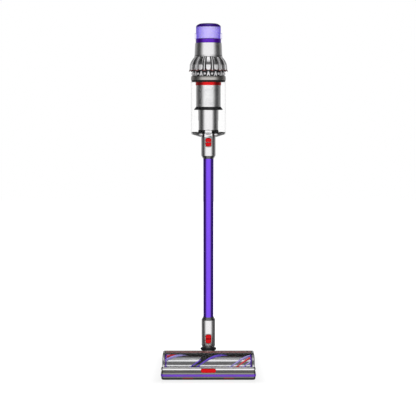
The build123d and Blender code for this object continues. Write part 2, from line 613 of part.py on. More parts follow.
# One side outline makes the top arm, the grip, the foot and the runner behind the bin.
with BuildPart() as handle_grip:
    with BuildSketch(Plane.YZ.offset(-GRIP_HALF)) as handle_side:
        with BuildLine():
            Polyline((44, 1144), (44, 1176), (96, 1181), (134, 1170), (148.5, 1142), (145.5, 1090),
                     (BACK_Y, 1040), (BACK_Y, BATTERY_HIGH + GAP), (58, BATTERY_HIGH + GAP),
                     (58, 1066), (76, 1066), (82, 1038), (106, 1036), (113, 1046), (114, 1120),
                     (106, 1138), (90, 1144), close=True)
        make_face()
        fillet([v for v in handle_side.vertices() if v.X > 80 and v.Y > 1020], 5)
    extrude(amount=2 * GRIP_HALF)
    fillet(handle_grip.edges().filter_by(Axis.X, reverse=True), 6)
    add(block((-13, 13), (58, 75.5), (885, 1030), soft=2))
    add(block((-34, 34), (79, BACK_Y), (BATTERY_HIGH + GAP, 1019), soft=10))
    add(tube(BIN_R + 0.8, 0.1, 880, COLLAR_LOW), mode=Mode.SUBTRACT)
    add(tube(62.1, 0.1, COLLAR_LOW - 1, 1067.5), mode=Mode.SUBTRACT)
    add(tube(50.9, 0.1, 1120, 1190), mode=Mode.SUBTRACT)
    add(tube(71, 0.1, 1067.5, MOTOR_LOW), mode=Mode.SUBTRACT)
    add(block((-7.5, 7.5), (105, 131), (1084, 1132)), mode=Mode.SUBTRACT)
    add(cross_rod(2 + FIT, -9.8, 9.8, TRIGGER_Y, TRIGGER_Z), mode=Mode.SUBTRACT)
    with Locations(*[Location((x, y, BATTERY_HIGH)) for x, y in battery_screw_places]):
        Cylinder(1.6, 10, mode=Mode.SUBTRACT)
keep(handle_grip.part, "handle_grip")

with BuildPart() as trigger:
    with BuildSketch(Plane.YZ.offset(-7)) as trigger_side:
        with BuildLine():
            Polyline((103, 1089), (102, 1104), (108, 1124), (114, 1128), (122, 1128), (122, 1118),
                     (118, 1098), (110, 1088), close=True)
        make_face()
        fillet(trigger_side.vertices(), 1.5)
    extrude(amount=14)
    add(cross_rod(2, -9.5, 9.5, TRIGGER_Y, TRIGGER_Z))
keep(trigger.part, "trigger")

with BuildPart() as battery_case:
    add(block((-BATTERY_HALF, BATTERY_HALF), (76, BACK_Y), (BATTERY_LOW, BATTERY_HIGH), soft=12))
    fillet(battery_case.edges().group_by(Axis.Z)[0], 5)
    with Locations((0, 113, BATTERY_LOW)):
        Cylinder(4, 28, mode=Mode.SUBTRACT)
    for x, y in battery_screw_places:
        with Locations((x, y, BATTERY_LOW)):
            Cylinder(3.3, 16, mode=Mode.SUBTRACT)
            Cylinder(1.6, 300, mode=Mode.SUBTRACT)
keep(battery_case.part, "battery_case")

with BuildPart() as battery_screws:
    for x, y in battery_screw_places:
        with Locations((x, y, BATTERY_LOW + 6.4)):
            Cylinder(3.3, 3.2)
        with Locations((x, y, BATTERY_LOW + 8)):
            Cylinder(1.6, 103, align=(Align.CENTER, Align.CENTER, Align.MIN))
keep(battery_screws.part, "battery_screws")

with BuildPart() as bin_lever:
    add(block((13.3, 19.5), (66.5, 75), (900, 962), soft=2))
    add(block((13.3, 24), (66.5, 75), (955, 962), soft=2))
keep(bin_lever.part, "bin_lever")
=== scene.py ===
import json
import math
import random

import bmesh
import bpy
from mathutils import Matrix, Vector


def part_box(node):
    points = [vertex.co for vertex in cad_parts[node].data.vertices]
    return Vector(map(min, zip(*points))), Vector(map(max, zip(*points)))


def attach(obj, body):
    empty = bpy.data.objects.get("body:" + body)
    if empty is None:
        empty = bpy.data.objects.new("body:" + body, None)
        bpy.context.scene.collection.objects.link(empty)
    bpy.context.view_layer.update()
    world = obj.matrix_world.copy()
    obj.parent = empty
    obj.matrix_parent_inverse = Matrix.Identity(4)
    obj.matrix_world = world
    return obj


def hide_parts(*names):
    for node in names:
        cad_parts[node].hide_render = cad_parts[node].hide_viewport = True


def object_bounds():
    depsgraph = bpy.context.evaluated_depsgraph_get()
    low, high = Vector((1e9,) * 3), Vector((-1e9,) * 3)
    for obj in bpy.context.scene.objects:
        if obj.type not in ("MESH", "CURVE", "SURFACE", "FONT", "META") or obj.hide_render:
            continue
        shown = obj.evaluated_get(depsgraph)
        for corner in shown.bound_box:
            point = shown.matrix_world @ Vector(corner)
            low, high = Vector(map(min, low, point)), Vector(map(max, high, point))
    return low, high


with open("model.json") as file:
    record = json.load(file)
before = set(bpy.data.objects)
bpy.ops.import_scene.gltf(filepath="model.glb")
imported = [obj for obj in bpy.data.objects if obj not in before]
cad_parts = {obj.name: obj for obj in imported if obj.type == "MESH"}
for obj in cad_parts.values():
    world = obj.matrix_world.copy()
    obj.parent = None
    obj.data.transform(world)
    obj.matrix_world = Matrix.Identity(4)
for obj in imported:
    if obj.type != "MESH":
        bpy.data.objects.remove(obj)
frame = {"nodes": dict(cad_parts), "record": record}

# Cordless stick vacuum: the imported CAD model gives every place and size, and this script gives the
# looks. Outlines and boxes are in millimetres, and piece() brings them to metres with MM; lengths in
# materials, the floor and the camera are in metres.

CAD_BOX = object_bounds()
NODES = frame["nodes"]
BODIES = frame["record"]["behaviour"]["bodies"]
BODY_OF = {node: body for body, nodes in BODIES.items() for node in nodes}
MM = 0.001
TURN = 2 * math.pi
SHARP = math.radians(32)         # edges that bend more than this stay crisp
SAME_PLACE = 1e-7               # points closer than this, in metres, are one point


# ---------------------------------------------------------------- material tools
class Graph:
    """A tree of shader nodes that is being built."""

    def __init__(self, tree):
        self.tree = tree

    def node(self, kind, **settings):
        made = self.tree.nodes.new(kind)
        for key, value in settings.items():
            setattr(made, key, value)
        return made

    def wire(self, source, target):
        self.tree.links.new(source, target)

    def math(self, operation, first, second=0.0):
        made = self.node("ShaderNodeMath", operation=operation)
        for socket, value in zip(made.inputs, (first, second)):
            if isinstance(value, (int, float)):
                socket.default_value = value
            else:
                self.wire(value, socket)
        return made.outputs[0]

    def noise(self, scale, stretch=(1, 1, 1), detail=3.0):
        mapping = self.node("ShaderNodeMapping")
        mapping.inputs["Scale"].default_value = stretch
        self.wire(self.place, mapping.inputs["Vector"])
        texture = self.node("ShaderNodeTexNoise")
        texture.inputs["Scale"].default_value = scale
        texture.inputs["Detail"].default_value = detail
        self.wire(mapping.outputs[0], texture.inputs["Vector"])
        return texture.outputs["Fac"]

    def ramp(self, value, stops):
        made = self.node("ShaderNodeValToRGB")
        ramp = made.color_ramp
        while len(ramp.elements) < len(stops):
            ramp.elements.new(0.5)
        for element, (position, colour) in zip(ramp.elements, stops):
            element.position = position
            element.color = (*colour[:3], 1.0)
        self.wire(value, made.inputs["Fac"])
        return made.outputs["Color"]

    def mix(self, share, first, second):
        made = self.node("ShaderNodeMix", data_type="RGBA")
        for socket, value in ((made.inputs["Factor"], share), (made.inputs["A"], first),
                              (made.inputs["B"], second)):
            if isinstance(value, float):
                socket.default_value = value
            elif isinstance(value, tuple):
                socket.default_value = (*value[:3], 1.0)
            else:
                self.wire(value, socket)
        return next(o for o in made.outputs if o.type == "RGBA")

    def span(self, value, low, high):
        made = self.node("ShaderNodeMapRange")
        made.inputs["From Min"].default_value = 0.3
        made.inputs["From Max"].default_value = 0.7
        made.inputs["To Min"].default_value = low
        made.inputs["To Max"].default_value = high
        self.wire(value, made.inputs["Value"])
        return made.outputs[0]

    def soft_edge(self, radius):
        """The rounded normal at edges, and a mask that is high along them."""
        bevel = self.node("ShaderNodeBevel", samples=4)
        bevel.inputs["Radius"].default_value = radius
        geometry = self.node("ShaderNodeNewGeometry")
        dot = self.node("ShaderNodeVectorMath", operation="DOT_PRODUCT")
        self.wire(bevel.outputs[0], dot.inputs[0])
        self.wire(geometry.outputs["Normal"], dot.inputs[1])
        edge = self.math("MULTIPLY", self.math("SUBTRACT", 1.0, dot.outputs["Value"]), 3.0)
        return bevel.outputs[0], self.math("MINIMUM", edge, 1.0)

    def bump(self, height, strength, distance, normal=None):
        made = self.node("ShaderNodeBump")
        made.inputs["Strength"].default_value = strength
        made.inputs["Distance"].default_value = distance
        self.wire(height, made.inputs["Height"])
        if normal is not None:
            self.wire(normal, made.inputs["Normal"])
        return made.outputs[0]


class Surface(Graph):
    """A Principled material and the nodes behind it."""

    def __init__(self):
        self.material = bpy.data.materials.new("surface")
        self.material.use_nodes = True
        super().__init__(self.material.node_tree)
        self.shader = self.tree.nodes["Principled BSDF"]
        self.place = self.node("ShaderNodeTexCoord").outputs["Object"]


def shade(colour, factor):
    return tuple(min(1.0, c * factor) for c in colour)


def moulded(colour, rough, metal=0.0, grain=700, depth=0.02, vary=0.10, edge=0.4 * MM, edge_highlight=0.25,
            coat=0.0, streak=(1, 1, 1), glow=0.0):
    """Moulded or plated plastic: cloudy colour, grained surface, uneven gloss and edges painted lighter as
    a painted highlight.
    """
    g = Surface()
    cloud = g.noise(22, streak, 2.0)
    fine = g.noise(grain, streak, 2.0)
    normal, rim = g.soft_edge(edge)
    base = g.ramp(cloud, [(0.3, shade(colour, 1 - vary)), (0.7, shade(colour, 1 + vary))])
    fleck = g.mix(g.math("MULTIPLY", g.span(fine, 0.0, 1.0), 0.22), base, shade(colour, 1.25))
    # painted highlight: the colour turns lighter along the rims
    g.wire(g.mix(g.math("MULTIPLY", rim, edge_highlight), fleck, shade(colour, 1.8)), g.shader.inputs["Base Color"])
    patchy = g.math("ADD", g.span(cloud, rough * 0.85, rough * 1.15), g.span(fine, -0.03, 0.03))
    g.wire(patchy, g.shader.inputs["Roughness"])
    g.wire(g.bump(fine, depth * 5, 0.05 * MM, normal), g.shader.inputs["Normal"])
    g.shader.inputs["Metallic"].default_value = metal
    g.shader.inputs["Coat Weight"].default_value = coat
    g.shader.inputs["Coat Roughness"].default_value = 0.06
    g.shader.inputs["Emission Color"].default_value = (*colour, 1.0)
    g.shader.inputs["Emission Strength"].default_value = glow
    return g.material


def brushed(colour, rough, stretch, depth=0.03):
    """Drawn or turned metal: fine streaks along one direction."""
    g = Surface()
    streaks = g.noise(60, stretch, 4.0)
    cloud = g.noise(9, (1, 1, 1), 2.0)
    normal, rim = g.soft_edge(0.3 * MM)
    base = g.ramp(streaks, [(0.25, shade(colour, 0.86)), (0.75, shade(colour, 1.10))])
    # painted highlight: the colour turns lighter along the rims
    g.wire(g.mix(g.math("MULTIPLY", rim, 0.3), base, shade(colour, 1.5)), g.shader.inputs["Base Color"])
    g.wire(g.math("ADD", g.span(streaks, rough * 0.75, rough * 1.25), g.span(cloud, -0.02, 0.02)),
           g.shader.inputs["Roughness"])
    g.wire(g.bump(streaks, depth * 5, 0.03 * MM, normal), g.shader.inputs["Normal"])
    g.shader.inputs["Metallic"].default_value = 1.0
    return g.material


def clear(tint, least=0.04, most=0.55, power=2.2, smudge=0.10, rough=0.04, solid=None):
    """Thin clear plastic: see-through face on, glossy and denser where seen edge on, a little smudged."""
    g = Surface()
    facing = g.node("ShaderNodeLayerWeight")
    facing.inputs["Blend"].default_value = 0.5
    cloud = g.noise(45, (1, 1, 0.4), 5.0)
    cover = g.math("ADD", g.math("MULTIPLY", g.math("POWER", facing.outputs["Facing"], power), most),
                   g.span(cloud, least, least + smudge * 0.3))
    see = g.node("ShaderNodeBsdfTransparent")
    see.inputs["Color"].default_value = (*tint, 1.0)
    blend = g.node("ShaderNodeMixShader")
    g.wire(g.math("MINIMUM", cover, 1.0), blend.inputs["Fac"])
    g.wire(see.outputs[0], blend.inputs[1])
    g.wire(g.shader.outputs[0], blend.inputs[2])
    out = next(n for n in g.tree.nodes if n.type == "OUTPUT_MATERIAL")
    g.wire(blend.outputs[0], out.inputs["Surface"])
    body = solid or shade(tint, 0.7)
    g.wire(g.ramp(cloud, [(0.3, shade(body, 0.94)), (0.7, shade(body, 1.06))]),
           g.shader.inputs["Base Color"])
    g.wire(g.span(cloud, rough, rough + smudge), g.shader.inputs["Roughness"])
    return g.material


def perforated(colour, around, pitch, radius):
    """Etched metal sheet with staggered rows of small round holes about the wand's axis."""
    g = Surface()
    split = g.node("ShaderNodeSeparateXYZ")
    g.wire(g.place, split.inputs[0])
    turn = g.math("MULTIPLY", g.math("ARCTAN2", split.outputs["Y"], split.outputs["X"]), around / TURN)
    row = g.math("DIVIDE", split.outputs["Z"], pitch)
    stagger = g.math("MULTIPLY", g.math("MODULO", g.math("FLOOR", row), 2.0), 0.5)
    across = g.math("SUBTRACT", g.math("FRACT", g.math("ADD", g.math("ADD", turn, stagger), 1000.0)), 0.5)
    along = g.math("SUBTRACT", g.math("FRACT", row), 0.5)
    reach = g.math("SQRT", g.math("ADD", g.math("POWER", across, 2.0), g.math("POWER", along, 2.0)))
    hole = g.math("LESS_THAN", reach, radius)
    cloud = g.noise(30, (1, 1, 1), 3.0)
    base = g.ramp(cloud, [(0.3, shade(colour, 0.9)), (0.7, shade(colour, 1.1))])
    # the holes are painted near black as painted shade for the dark inside behind them; no hole is cut
    g.wire(g.mix(hole, base, (0.01, 0.01, 0.012)), g.shader.inputs["Base Color"])
    g.wire(g.span(cloud, 0.18, 0.26), g.shader.inputs["Roughness"])
    g.wire(g.math("SUBTRACT", 1.0, hole), g.shader.inputs["Metallic"])
    g.wire(g.bump(g.math("SUBTRACT", 1.0, hole), 0.5, 0.3 * MM), g.shader.inputs["Normal"])
    return g.material


def carbon_filament():
    """Fine black filaments: crossed diagonal hatching with glossy strands."""
    g = Surface()
    split = g.node("ShaderNodeSeparateXYZ")
    g.wire(g.place, split.inputs[0])
    slant = g.math("ADD", split.outputs["X"], g.math("MULTIPLY", split.outputs["Z"], 0.8))
    strand = g.math("PINGPONG", g.math("MULTIPLY", slant, 520.0), 1.0)
    fuzz = g.noise(900, (1, 0.3, 0.3), 3.0)
    height = g.math("ADD", strand, g.math("MULTIPLY", fuzz, 0.8))
    g.wire(g.ramp(height, [(0.35, (0.003, 0.003, 0.004)), (1.0, (0.035, 0.035, 0.04))]),
           g.shader.inputs["Base Color"])
    g.wire(g.span(fuzz, 0.45, 0.70), g.shader.inputs["Roughness"])
    g.shader.inputs["Specular IOR Level"].default_value = 0.25
    g.wire(g.bump(height, 0.7, 0.4 * MM), g.shader.inputs["Normal"])
    return g.material


NICKEL = (0.80, 0.79, 0.80)
SMOKE = (0.50, 0.48, 0.455)
VIOLET = (0.17, 0.03, 0.66)
MATERIAL = {
    "nickel": moulded(NICKEL, 0.17, metal=0.96, grain=1500, depth=0.004, vary=0.03, edge_highlight=0.1),
    "nickel_soft": moulded((0.72, 0.71, 0.72), 0.26, metal=0.96, grain=1500, depth=0.006,
                           vary=0.04, edge_highlight=0.1),
    "nickel_dark": moulded(SMOKE, 0.26, metal=0.95, grain=500, depth=0.003, vary=0.06),
    "graphite": moulded((0.10, 0.10, 0.105), 0.38, metal=0.3, grain=1100, depth=0.03),
    "graphite_soft": moulded((0.05, 0.05, 0.055), 0.60, grain=1900, depth=0.06, edge_highlight=0.12),
    "black_gloss": moulded((0.010, 0.010, 0.012), 0.14, grain=500, depth=0.004, vary=0.2,
                           coat=0.3, edge_highlight=0.3),
    "head_face": moulded((0.25, 0.245, 0.23), 0.24, metal=0.9, grain=1500, depth=0.006,
                         vary=0.04, edge_highlight=0.15),
    # a darker copy of the bumper face's metal: painted shade for the concave groove, also used on the
    # slider's track
    "cove": moulded((0.15, 0.147, 0.14), 0.30, metal=0.8, grain=1500, depth=0.008, vary=0.06),
    "skid": moulded((0.050, 0.047, 0.043), 0.34, metal=0.35, grain=900, depth=0.02, vary=0.12),
    # a lighter, less metallic copy of nickel: painted highlight for the cyclone ribs, feet and bosses
    "nickel_painted_highlight": moulded((0.93, 0.92, 0.93), 0.20, metal=0.38, grain=1500, depth=0.004,
                          vary=0.03, edge_highlight=0.1),
    "ring_violet": moulded((0.11, 0.004, 0.52), 0.20, metal=0.6, grain=900, depth=0.005,
                           vary=0.06, coat=0.2),
    "violet": moulded(VIOLET, 0.20, metal=0.3, grain=900, depth=0.006, vary=0.08, coat=0.3),
    "indigo": moulded((0.055, 0.004, 0.33), 0.14, metal=0.5, grain=900, depth=0.005, vary=0.10,
                      coat=0.5, edge=0.8 * MM),
    "wand": brushed((0.215, 0.085, 0.86), 0.20, (14, 14, 0.35)),
    "red": moulded((0.66, 0.001, 0.005), 0.22, metal=0.78, grain=900, depth=0.006, vary=0.06,
                   edge_highlight=0.1),
    "red_metal": moulded((0.78, 0.008, 0.010), 0.22, metal=0.80, grain=900, depth=0.005,
                         vary=0.05),
    "red_dark": moulded((0.20, 0.006, 0.010), 0.36, grain=900, depth=0.02, vary=0.12),
    "red_trim": moulded((0.52, 0.16, 0.15), 0.30, metal=0.4, grain=900, depth=0.01, vary=0.08),
    "copper": moulded((0.42, 0.16, 0.15), 0.26, metal=0.8, grain=900, depth=0.008, vary=0.10),
    "roller": brushed((0.80, 0.80, 0.82), 0.15, (0.5, 10, 10), depth=0.008),
    "steel": brushed((0.56, 0.56, 0.57), 0.30, (8, 8, 8)),
    "rubber": moulded((0.014, 0.014, 0.016), 0.45, grain=1300, depth=0.04, vary=0.2, edge_highlight=0.15),
    "aluminium": brushed((0.72, 0.72, 0.74), 0.28, (6, 6, 6)),
    "bristle_violet": moulded((0.16, 0.07, 0.72), 0.42, grain=2400, depth=0.2, vary=0.2,
                              streak=(1, 0.2, 0.2)),
    "bristle_lilac": moulded((0.42, 0.36, 0.90), 0.42, grain=2400, depth=0.2, vary=0.15,
                             streak=(1, 0.2, 0.2)),
    "bristle_red": moulded((0.80, 0.02, 0.03), 0.42, grain=2400, depth=0.2, vary=0.15,
                           streak=(1, 0.2, 0.2)),
    "carbon": carbon_filament(),
    "shroud": perforated((0.92, 0.91, 0.93), 150, 1.75 * MM, 0.17),
    "bin_clear": clear((1.0, 1.0, 1.0), least=0.0, most=0.42, power=9.0, smudge=0.01),
    "window_clear": clear((1.0, 1.0, 1.0), least=0.02, most=0.4, power=6.0, smudge=0.03),
    "cage_clear": clear((0.97, 0.95, 1.0), least=0.06, most=0.95, power=0.9, smudge=0.06,
                        rough=0.16, solid=(0.20, 0.11, 0.92)),
    # the paper's emission is painted light: it glows a little so it reads bright behind the cage
    "paper": moulded((0.97, 0.94, 1.0), 0.8, grain=1600, depth=0.05, vary=0.02, edge_highlight=0.05,
                     glow=0.36),
    "screen": moulded((0.008, 0.008, 0.012), 0.08, grain=300, depth=0.002, vary=0.2, coat=1.0),
    "glow": moulded((0.30, 0.62, 0.95), 0.3, grain=900, depth=0.01, vary=0.1),
}
for name, material in MATERIAL.items():
    material.name = name


# ---------------------------------------------------------------- mesh tools
def piece(name, bm, body, material, replaced=()):
    """A finished object from a bmesh: shaded, in its material, riding on its body."""
    bmesh.ops.scale(bm, vec=(MM, MM, MM), verts=bm.verts)
    bmesh.ops.remove_doubles(bm, verts=bm.verts, dist=SAME_PLACE)
    bmesh.ops.recalc_face_normals(bm, faces=bm.faces)
    for face in bm.faces:
        face.smooth = True
    for edge in bm.edges:
        if len(edge.link_faces) != 2 or edge.calc_face_angle(0) > SHARP:
            edge.smooth = False
    mesh = bpy.data.meshes.new(name)
    bm.to_mesh(mesh)
    bm.free()
    made = bpy.data.objects.new(name, mesh)
    bpy.context.scene.collection.objects.link(made)
    mesh.materials.append(MATERIAL[material])
    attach(made, body)
    if replaced:
        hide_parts(*replaced)


def rounded(points, radius, steps=4):
    """A closed outline with each corner rounded. radius is one number, or one for each corner."""
    radii = radius if isinstance(radius, (list, tuple)) else [radius] * len(points)
    out = []
    for k, here in enumerate(points):
        here = Vector(here)
        to_last, to_next = Vector(points[k - 1]) - here, Vector(points[(k + 1) % len(points)]) - here
        reach = min(radii[k], 0.45 * to_last.length, 0.45 * to_next.length)
        if reach < 1e-4:
            out.append(tuple(here))
            continue
        start, end = here + to_last.normalized() * reach, here + to_next.normalized() * reach
        for step in range(steps + 1):
            t = step / steps
            out.append(tuple(start * (1 - t) ** 2 + here * 2 * t * (1 - t) + end * t * t))
    return out


def rect(low_x, low_y, high_x, high_y):
    """The corners of a rectangle."""
    return [(low_x, low_y), (high_x, low_y), (high_x, high_y), (low_x, high_y)]


def loft(bm, rings, closed=False):
    """Skins rings of points that all have the same count; closed joins the last ring to the first."""
    made = [[bm.verts.new(p) for p in ring] for ring in rings]
    pairs = list(zip(made, made[1:])) + ([(made[-1], made[0])] if closed else [])
    for low, high in pairs:
        for k in range(len(low)):
            bm.faces.new((low[k - 1], low[k], high[k], high[k - 1]))
    if not closed:
        bm.faces.new(made[0])
        bm.faces.new(reversed(made[-1]))


def lathe(bm, outline, steps=128, matrix=Matrix.Identity(4), flute=None):
    """Turns (radius, height) points about Z; flute(angle, radius) may change the radius."""
    rings = []
    for k in range(steps):
        angle = TURN * k / steps
        rings.append([matrix @ Vector(((flute(angle, r) if flute else r) * math.cos(angle),
                                       (flute(angle, r) if flute else r) * math.sin(angle), z))
                      for r, z in outline])
    loft(bm, rings, closed=True)


def along_x(y, z):
    """The matrix that lays a lathe's axis along X, through the given Y and Z."""
    return Matrix.Translation((0, y, z)) @ Matrix.Rotation(math.pi / 2, 4, "Y")


def prism(bm, outline, low, high, matrix=Matrix.Identity(4), bevel=0.0, steps=4):
    """Extrudes an (x, y) outline from height low to high with rounded rims, inset towards its middle."""
    count = len(outline)
    inward = []
    for k in range(count):
        before, after = Vector(outline[k - 1]), Vector(outline[(k + 1) % count])
        run = (after - before).normalized()
        inward.append(Vector((-run.y, run.x)))
    area = sum(outline[k - 1][0] * outline[k][1] - outline[k][0] * outline[k - 1][1] for k in range(count))
    side = 1 if area > 0 else -1
    levels = []
    for step in range(steps + 1 if bevel else 1):
        turn = math.pi / 2 * step / steps
        levels.append((bevel * (1 - math.sin(turn)), low + bevel * (1 - math.cos(turn))))
    levels += [(inset, high - (height - low)) for inset, height in reversed(levels)]
    loft(bm, [[matrix @ Vector((*(Vector(p) + n * inset * side), height))
               for p, n in zip(outline, inward)] for inset, height in levels])


def inset_corners(corners, reaches, inset):
    """Moves an outline's edges inwards, and says how far each corner's rounding then reaches."""
    count = len(corners)
    area = sum(corners[k - 1][0] * corners[k][1] - corners[k][0] * corners[k - 1][1] for k in range(count))
    side = 1 if area > 0 else -1
    moved, left = [], []
    for k in range(count):
        here = Vector(corners[k])
        run_in = (here - Vector(corners[k - 1])).normalized()
        run_out = (Vector(corners[(k + 1) % count]) - here).normalized()
        turn = math.atan2(run_in.cross(run_out), run_in.dot(run_out)) * side
        slope = math.tan(turn / 2)
        inward = Vector((-run_in.y, run_in.x)) * side
        moved.append(here + inward * inset - run_in * inset * slope)
        left.append(max(1e-3, reaches[k] - inset * slope))
    return moved, left


def slab(bm, corners, reaches, inner, outer, bevel, matrix, steps=7):
    """A plate with a square inner face and a rounded rim on its outer face."""
    away = 1 if outer > inner else -1
    levels = [(0.0, inner)]
    for step in range(steps + 1):
        turn = math.pi / 2 * step / steps
        levels.append((bevel * (1 - math.cos(turn)), outer - away * bevel * (1 - math.sin(turn))))
    loft(bm, [[matrix @ Vector((*p, height)) for p in rounded(*inset_corners(corners, reaches, inset), 7)]
              for inset, height in levels])


YZ_ALONG_X = Matrix(((0, 0, 1, 0), (1, 0, 0, 0), (0, 1, 0, 0), (0, 0, 0, 1)))   # (y, z, x) to (x, y, z)
XZ_ALONG_Y = Matrix(((1, 0, 0, 0), (0, 0, 1, 0), (0, 1, 0, 0), (0, 0, 0, 1)))   # (x, z, y) to (x, y, z)


def pill(half_wide, half_high, steps=12):
    """An outline of a slot with round ends, about the origin."""
    flat = half_wide - half_high
    ends = []
    for side in (1, -1):
        for k in range(steps + 1):
            angle = -math.pi / 2 + math.pi * k / steps + (0 if side > 0 else math.pi)
            ends.append((side * flat + half_high * math.cos(angle), half_high * math.sin(angle)))
    return ends


# ---------------------------------------------------------------- where the CAD has things
def box(node):
    """A CAD piece's low and high corners, in millimetres."""
    return [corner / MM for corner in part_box(node)]


ROLLER_LOW, ROLLER_HIGH = box("brush_core")
ROLLER_Y = (ROLLER_LOW.y + ROLLER_HIGH.y) / 2
ROLLER_Z = (ROLLER_LOW.z + ROLLER_HIGH.z) / 2
CORE_R = (ROLLER_HIGH.z - ROLLER_LOW.z) / 2
SHELL_R = ROLLER_Y - box("side_cap_left")[0].y


def about_roller(radius, angle):
    """The (y, z) point at a radius and an angle about the roller's axis."""
    return ROLLER_Y + radius * math.cos(angle), ROLLER_Z + radius * math.sin(angle)


# ---------------------------------------------------------------- cleaner head
def head_outline(points_on_nose=28):
    """The head's side outline as (y, z) points: round nose, sloping back, flat sole."""
    low, high = box("side_cap_left")
    start = -math.asin((ROLLER_Z - low.z) / SHELL_R)
    nose = [(ROLLER_Y - SHELL_R * math.cos(start + (math.pi / 2 - start) * k / points_on_nose),
             ROLLER_Z + SHELL_R * math.sin(start + (math.pi / 2 - start) * k / points_on_nose))
            for k in range(points_on_nose + 1)]
    top = high.z
    back = rounded([nose[-1], (-52, top - 1.5), (-39, top - 8.5), (high.y, 64), (high.y, low.z), nose[0]],
                   [0, 9, 12, 8, 3, 0], steps=5)
    return nose[:-1] + back[:-1]


def end_cheek(name, node, sign):
    """A side cap: the head's outline with a well rounded rim, and a hole in the right one."""
    low, high = box(node)
    bm = bmesh.new()
    inner, outer = (high.x, low.x) if sign < 0 else (low.x, high.x)
    outline = head_outline()
    rim = 3.2
    middle = Vector((ROLLER_Y + 12, ROLLER_Z))
    rings = [[(inner, y, z) for y, z in outline]]
    for step in range(7):
        turn = math.pi / 2 * step / 6
        x = outer - sign * rim * (1 - math.sin(turn))
        pull = rim * (1 - math.cos(turn))
        ring = []
        for y, z in outline:
            inward = (middle - Vector((y, z))).normalized() * pull
            ring.append((x, y + inward.x, z + inward.y))
        rings.append(ring)
    if sign > 0:                                    # a round hole for the lock and the brush bar
        hole_r = (box("end_cap_lock")[1].z - box("end_cap_lock")[0].z) / 2 + 0.25
        turns = [math.atan2(z - ROLLER_Z, y - ROLLER_Y) for y, z in outline]
        for x in (outer, inner):
            rings.append([(x, *about_roller(hole_r, a)) for a in turns])
        loft(bm, rings, closed=True)
    else:
        loft(bm, rings)
    piece(name, bm, BODY_OF[node], "nickel_soft", [node])


def roller_window():
    """The clear cover over the roller, a thin arc along the head."""
    low, high = box("roller_window")
    start, end = math.radians(7.2), math.acos((ROLLER_Y - high.y) / SHELL_R)
    arc = [(ROLLER_Y - r * math.cos(a), ROLLER_Z + r * math.sin(a))
           for r, order in ((SHELL_R, 1), (SHELL_R - 2.2, -1))
           for a in [start + (end - start) * k / 30 for k in range(31)][::order]]
    bm = bmesh.new()
    prism(bm, arc, low.x, high.x, YZ_ALONG_X)
    piece("window_cover", bm, "head", "window_clear", ["roller_window"])


def head_shell():
    """The rear shell with its rounded back, the dark liner under it and the red trim on its lip."""
    low, high = box("head_housing")
    outline = head_outline()
    lip = [(y, z) for y, z in outline if y >= low.y - 1e-3 and z > ROLLER_Z or y > ROLLER_Y + 30]
    chamber = SHELL_R - 2.3
    last = math.asin((ROLLER_Z - low.z) / chamber)
    first = math.acos((low.y - ROLLER_Y) / chamber)
    turns = [-last + (first + last) * k / 24 for k in range(25)]
    inner = [about_roller(chamber, a) for a in turns]
    lip = [(y, max(z, low.z)) for y, z in lip]
    bm = bmesh.new()
    prism(bm, lip + inner, low.x, high.x, YZ_ALONG_X)
    piece("head_rear_shell", bm, "head", "nickel_dark", ["head_housing"])
    bm = bmesh.new()
    liner = [about_roller(r, a) for r, order in ((chamber + 0.2, 1), (chamber - 0.5, -1))
             for a in turns[::order]]
    prism(bm, liner, low.x + 0.5, high.x - 0.5, YZ_ALONG_X)
    piece("head_chamber_liner", bm, "head", "graphite_soft")

    bm = bmesh.new()
    top = box("side_cap_left")[1].z
    prism(bm, rounded([(low.y + 1.0, top - 1.2), (low.y + 8.5, top - 1.2), (low.y + 8.5, top - 0.25),
                       (low.y + 1.0, top - 0.1)], 0.3), low.x + 4, high.x - 4, YZ_ALONG_X)
    piece("window_lip_trim", bm, "head", "red_trim")


def bumper_path(steps=10):
    """The bumper's run from above, left end to right end, as (x, y, outward x, outward y)."""
    low, high = box("front_bumper")
    back = box("bumper_stripe")[1].y
    corner = 10
    path = [(low.x, back, -1, 0), (low.x, (back + low.y + corner) / 2, -1, 0)]
    for k in range(steps + 1):
        a = math.pi / 2 * k / steps
        path.append((low.x + corner * (1 - math.cos(a)), low.y + corner * (1 - math.sin(a)),
                     -math.cos(a), -math.sin(a)))
    inner = [(low.x + corner + (high.x - low.x - 2 * corner) * k / 40, low.y, 0, -1) for k in range(1, 40)]
    return path + inner + [(-x, y, -nx, ny) for x, y, nx, ny in reversed(path)]


def wrap(bm, outline):
    """Sweeps (outward, height) points along the bumper's run."""
    loft(bm, [[(x + nx * out, y + ny * out, z) for out, z in outline] for x, y, nx, ny in bumper_path()])


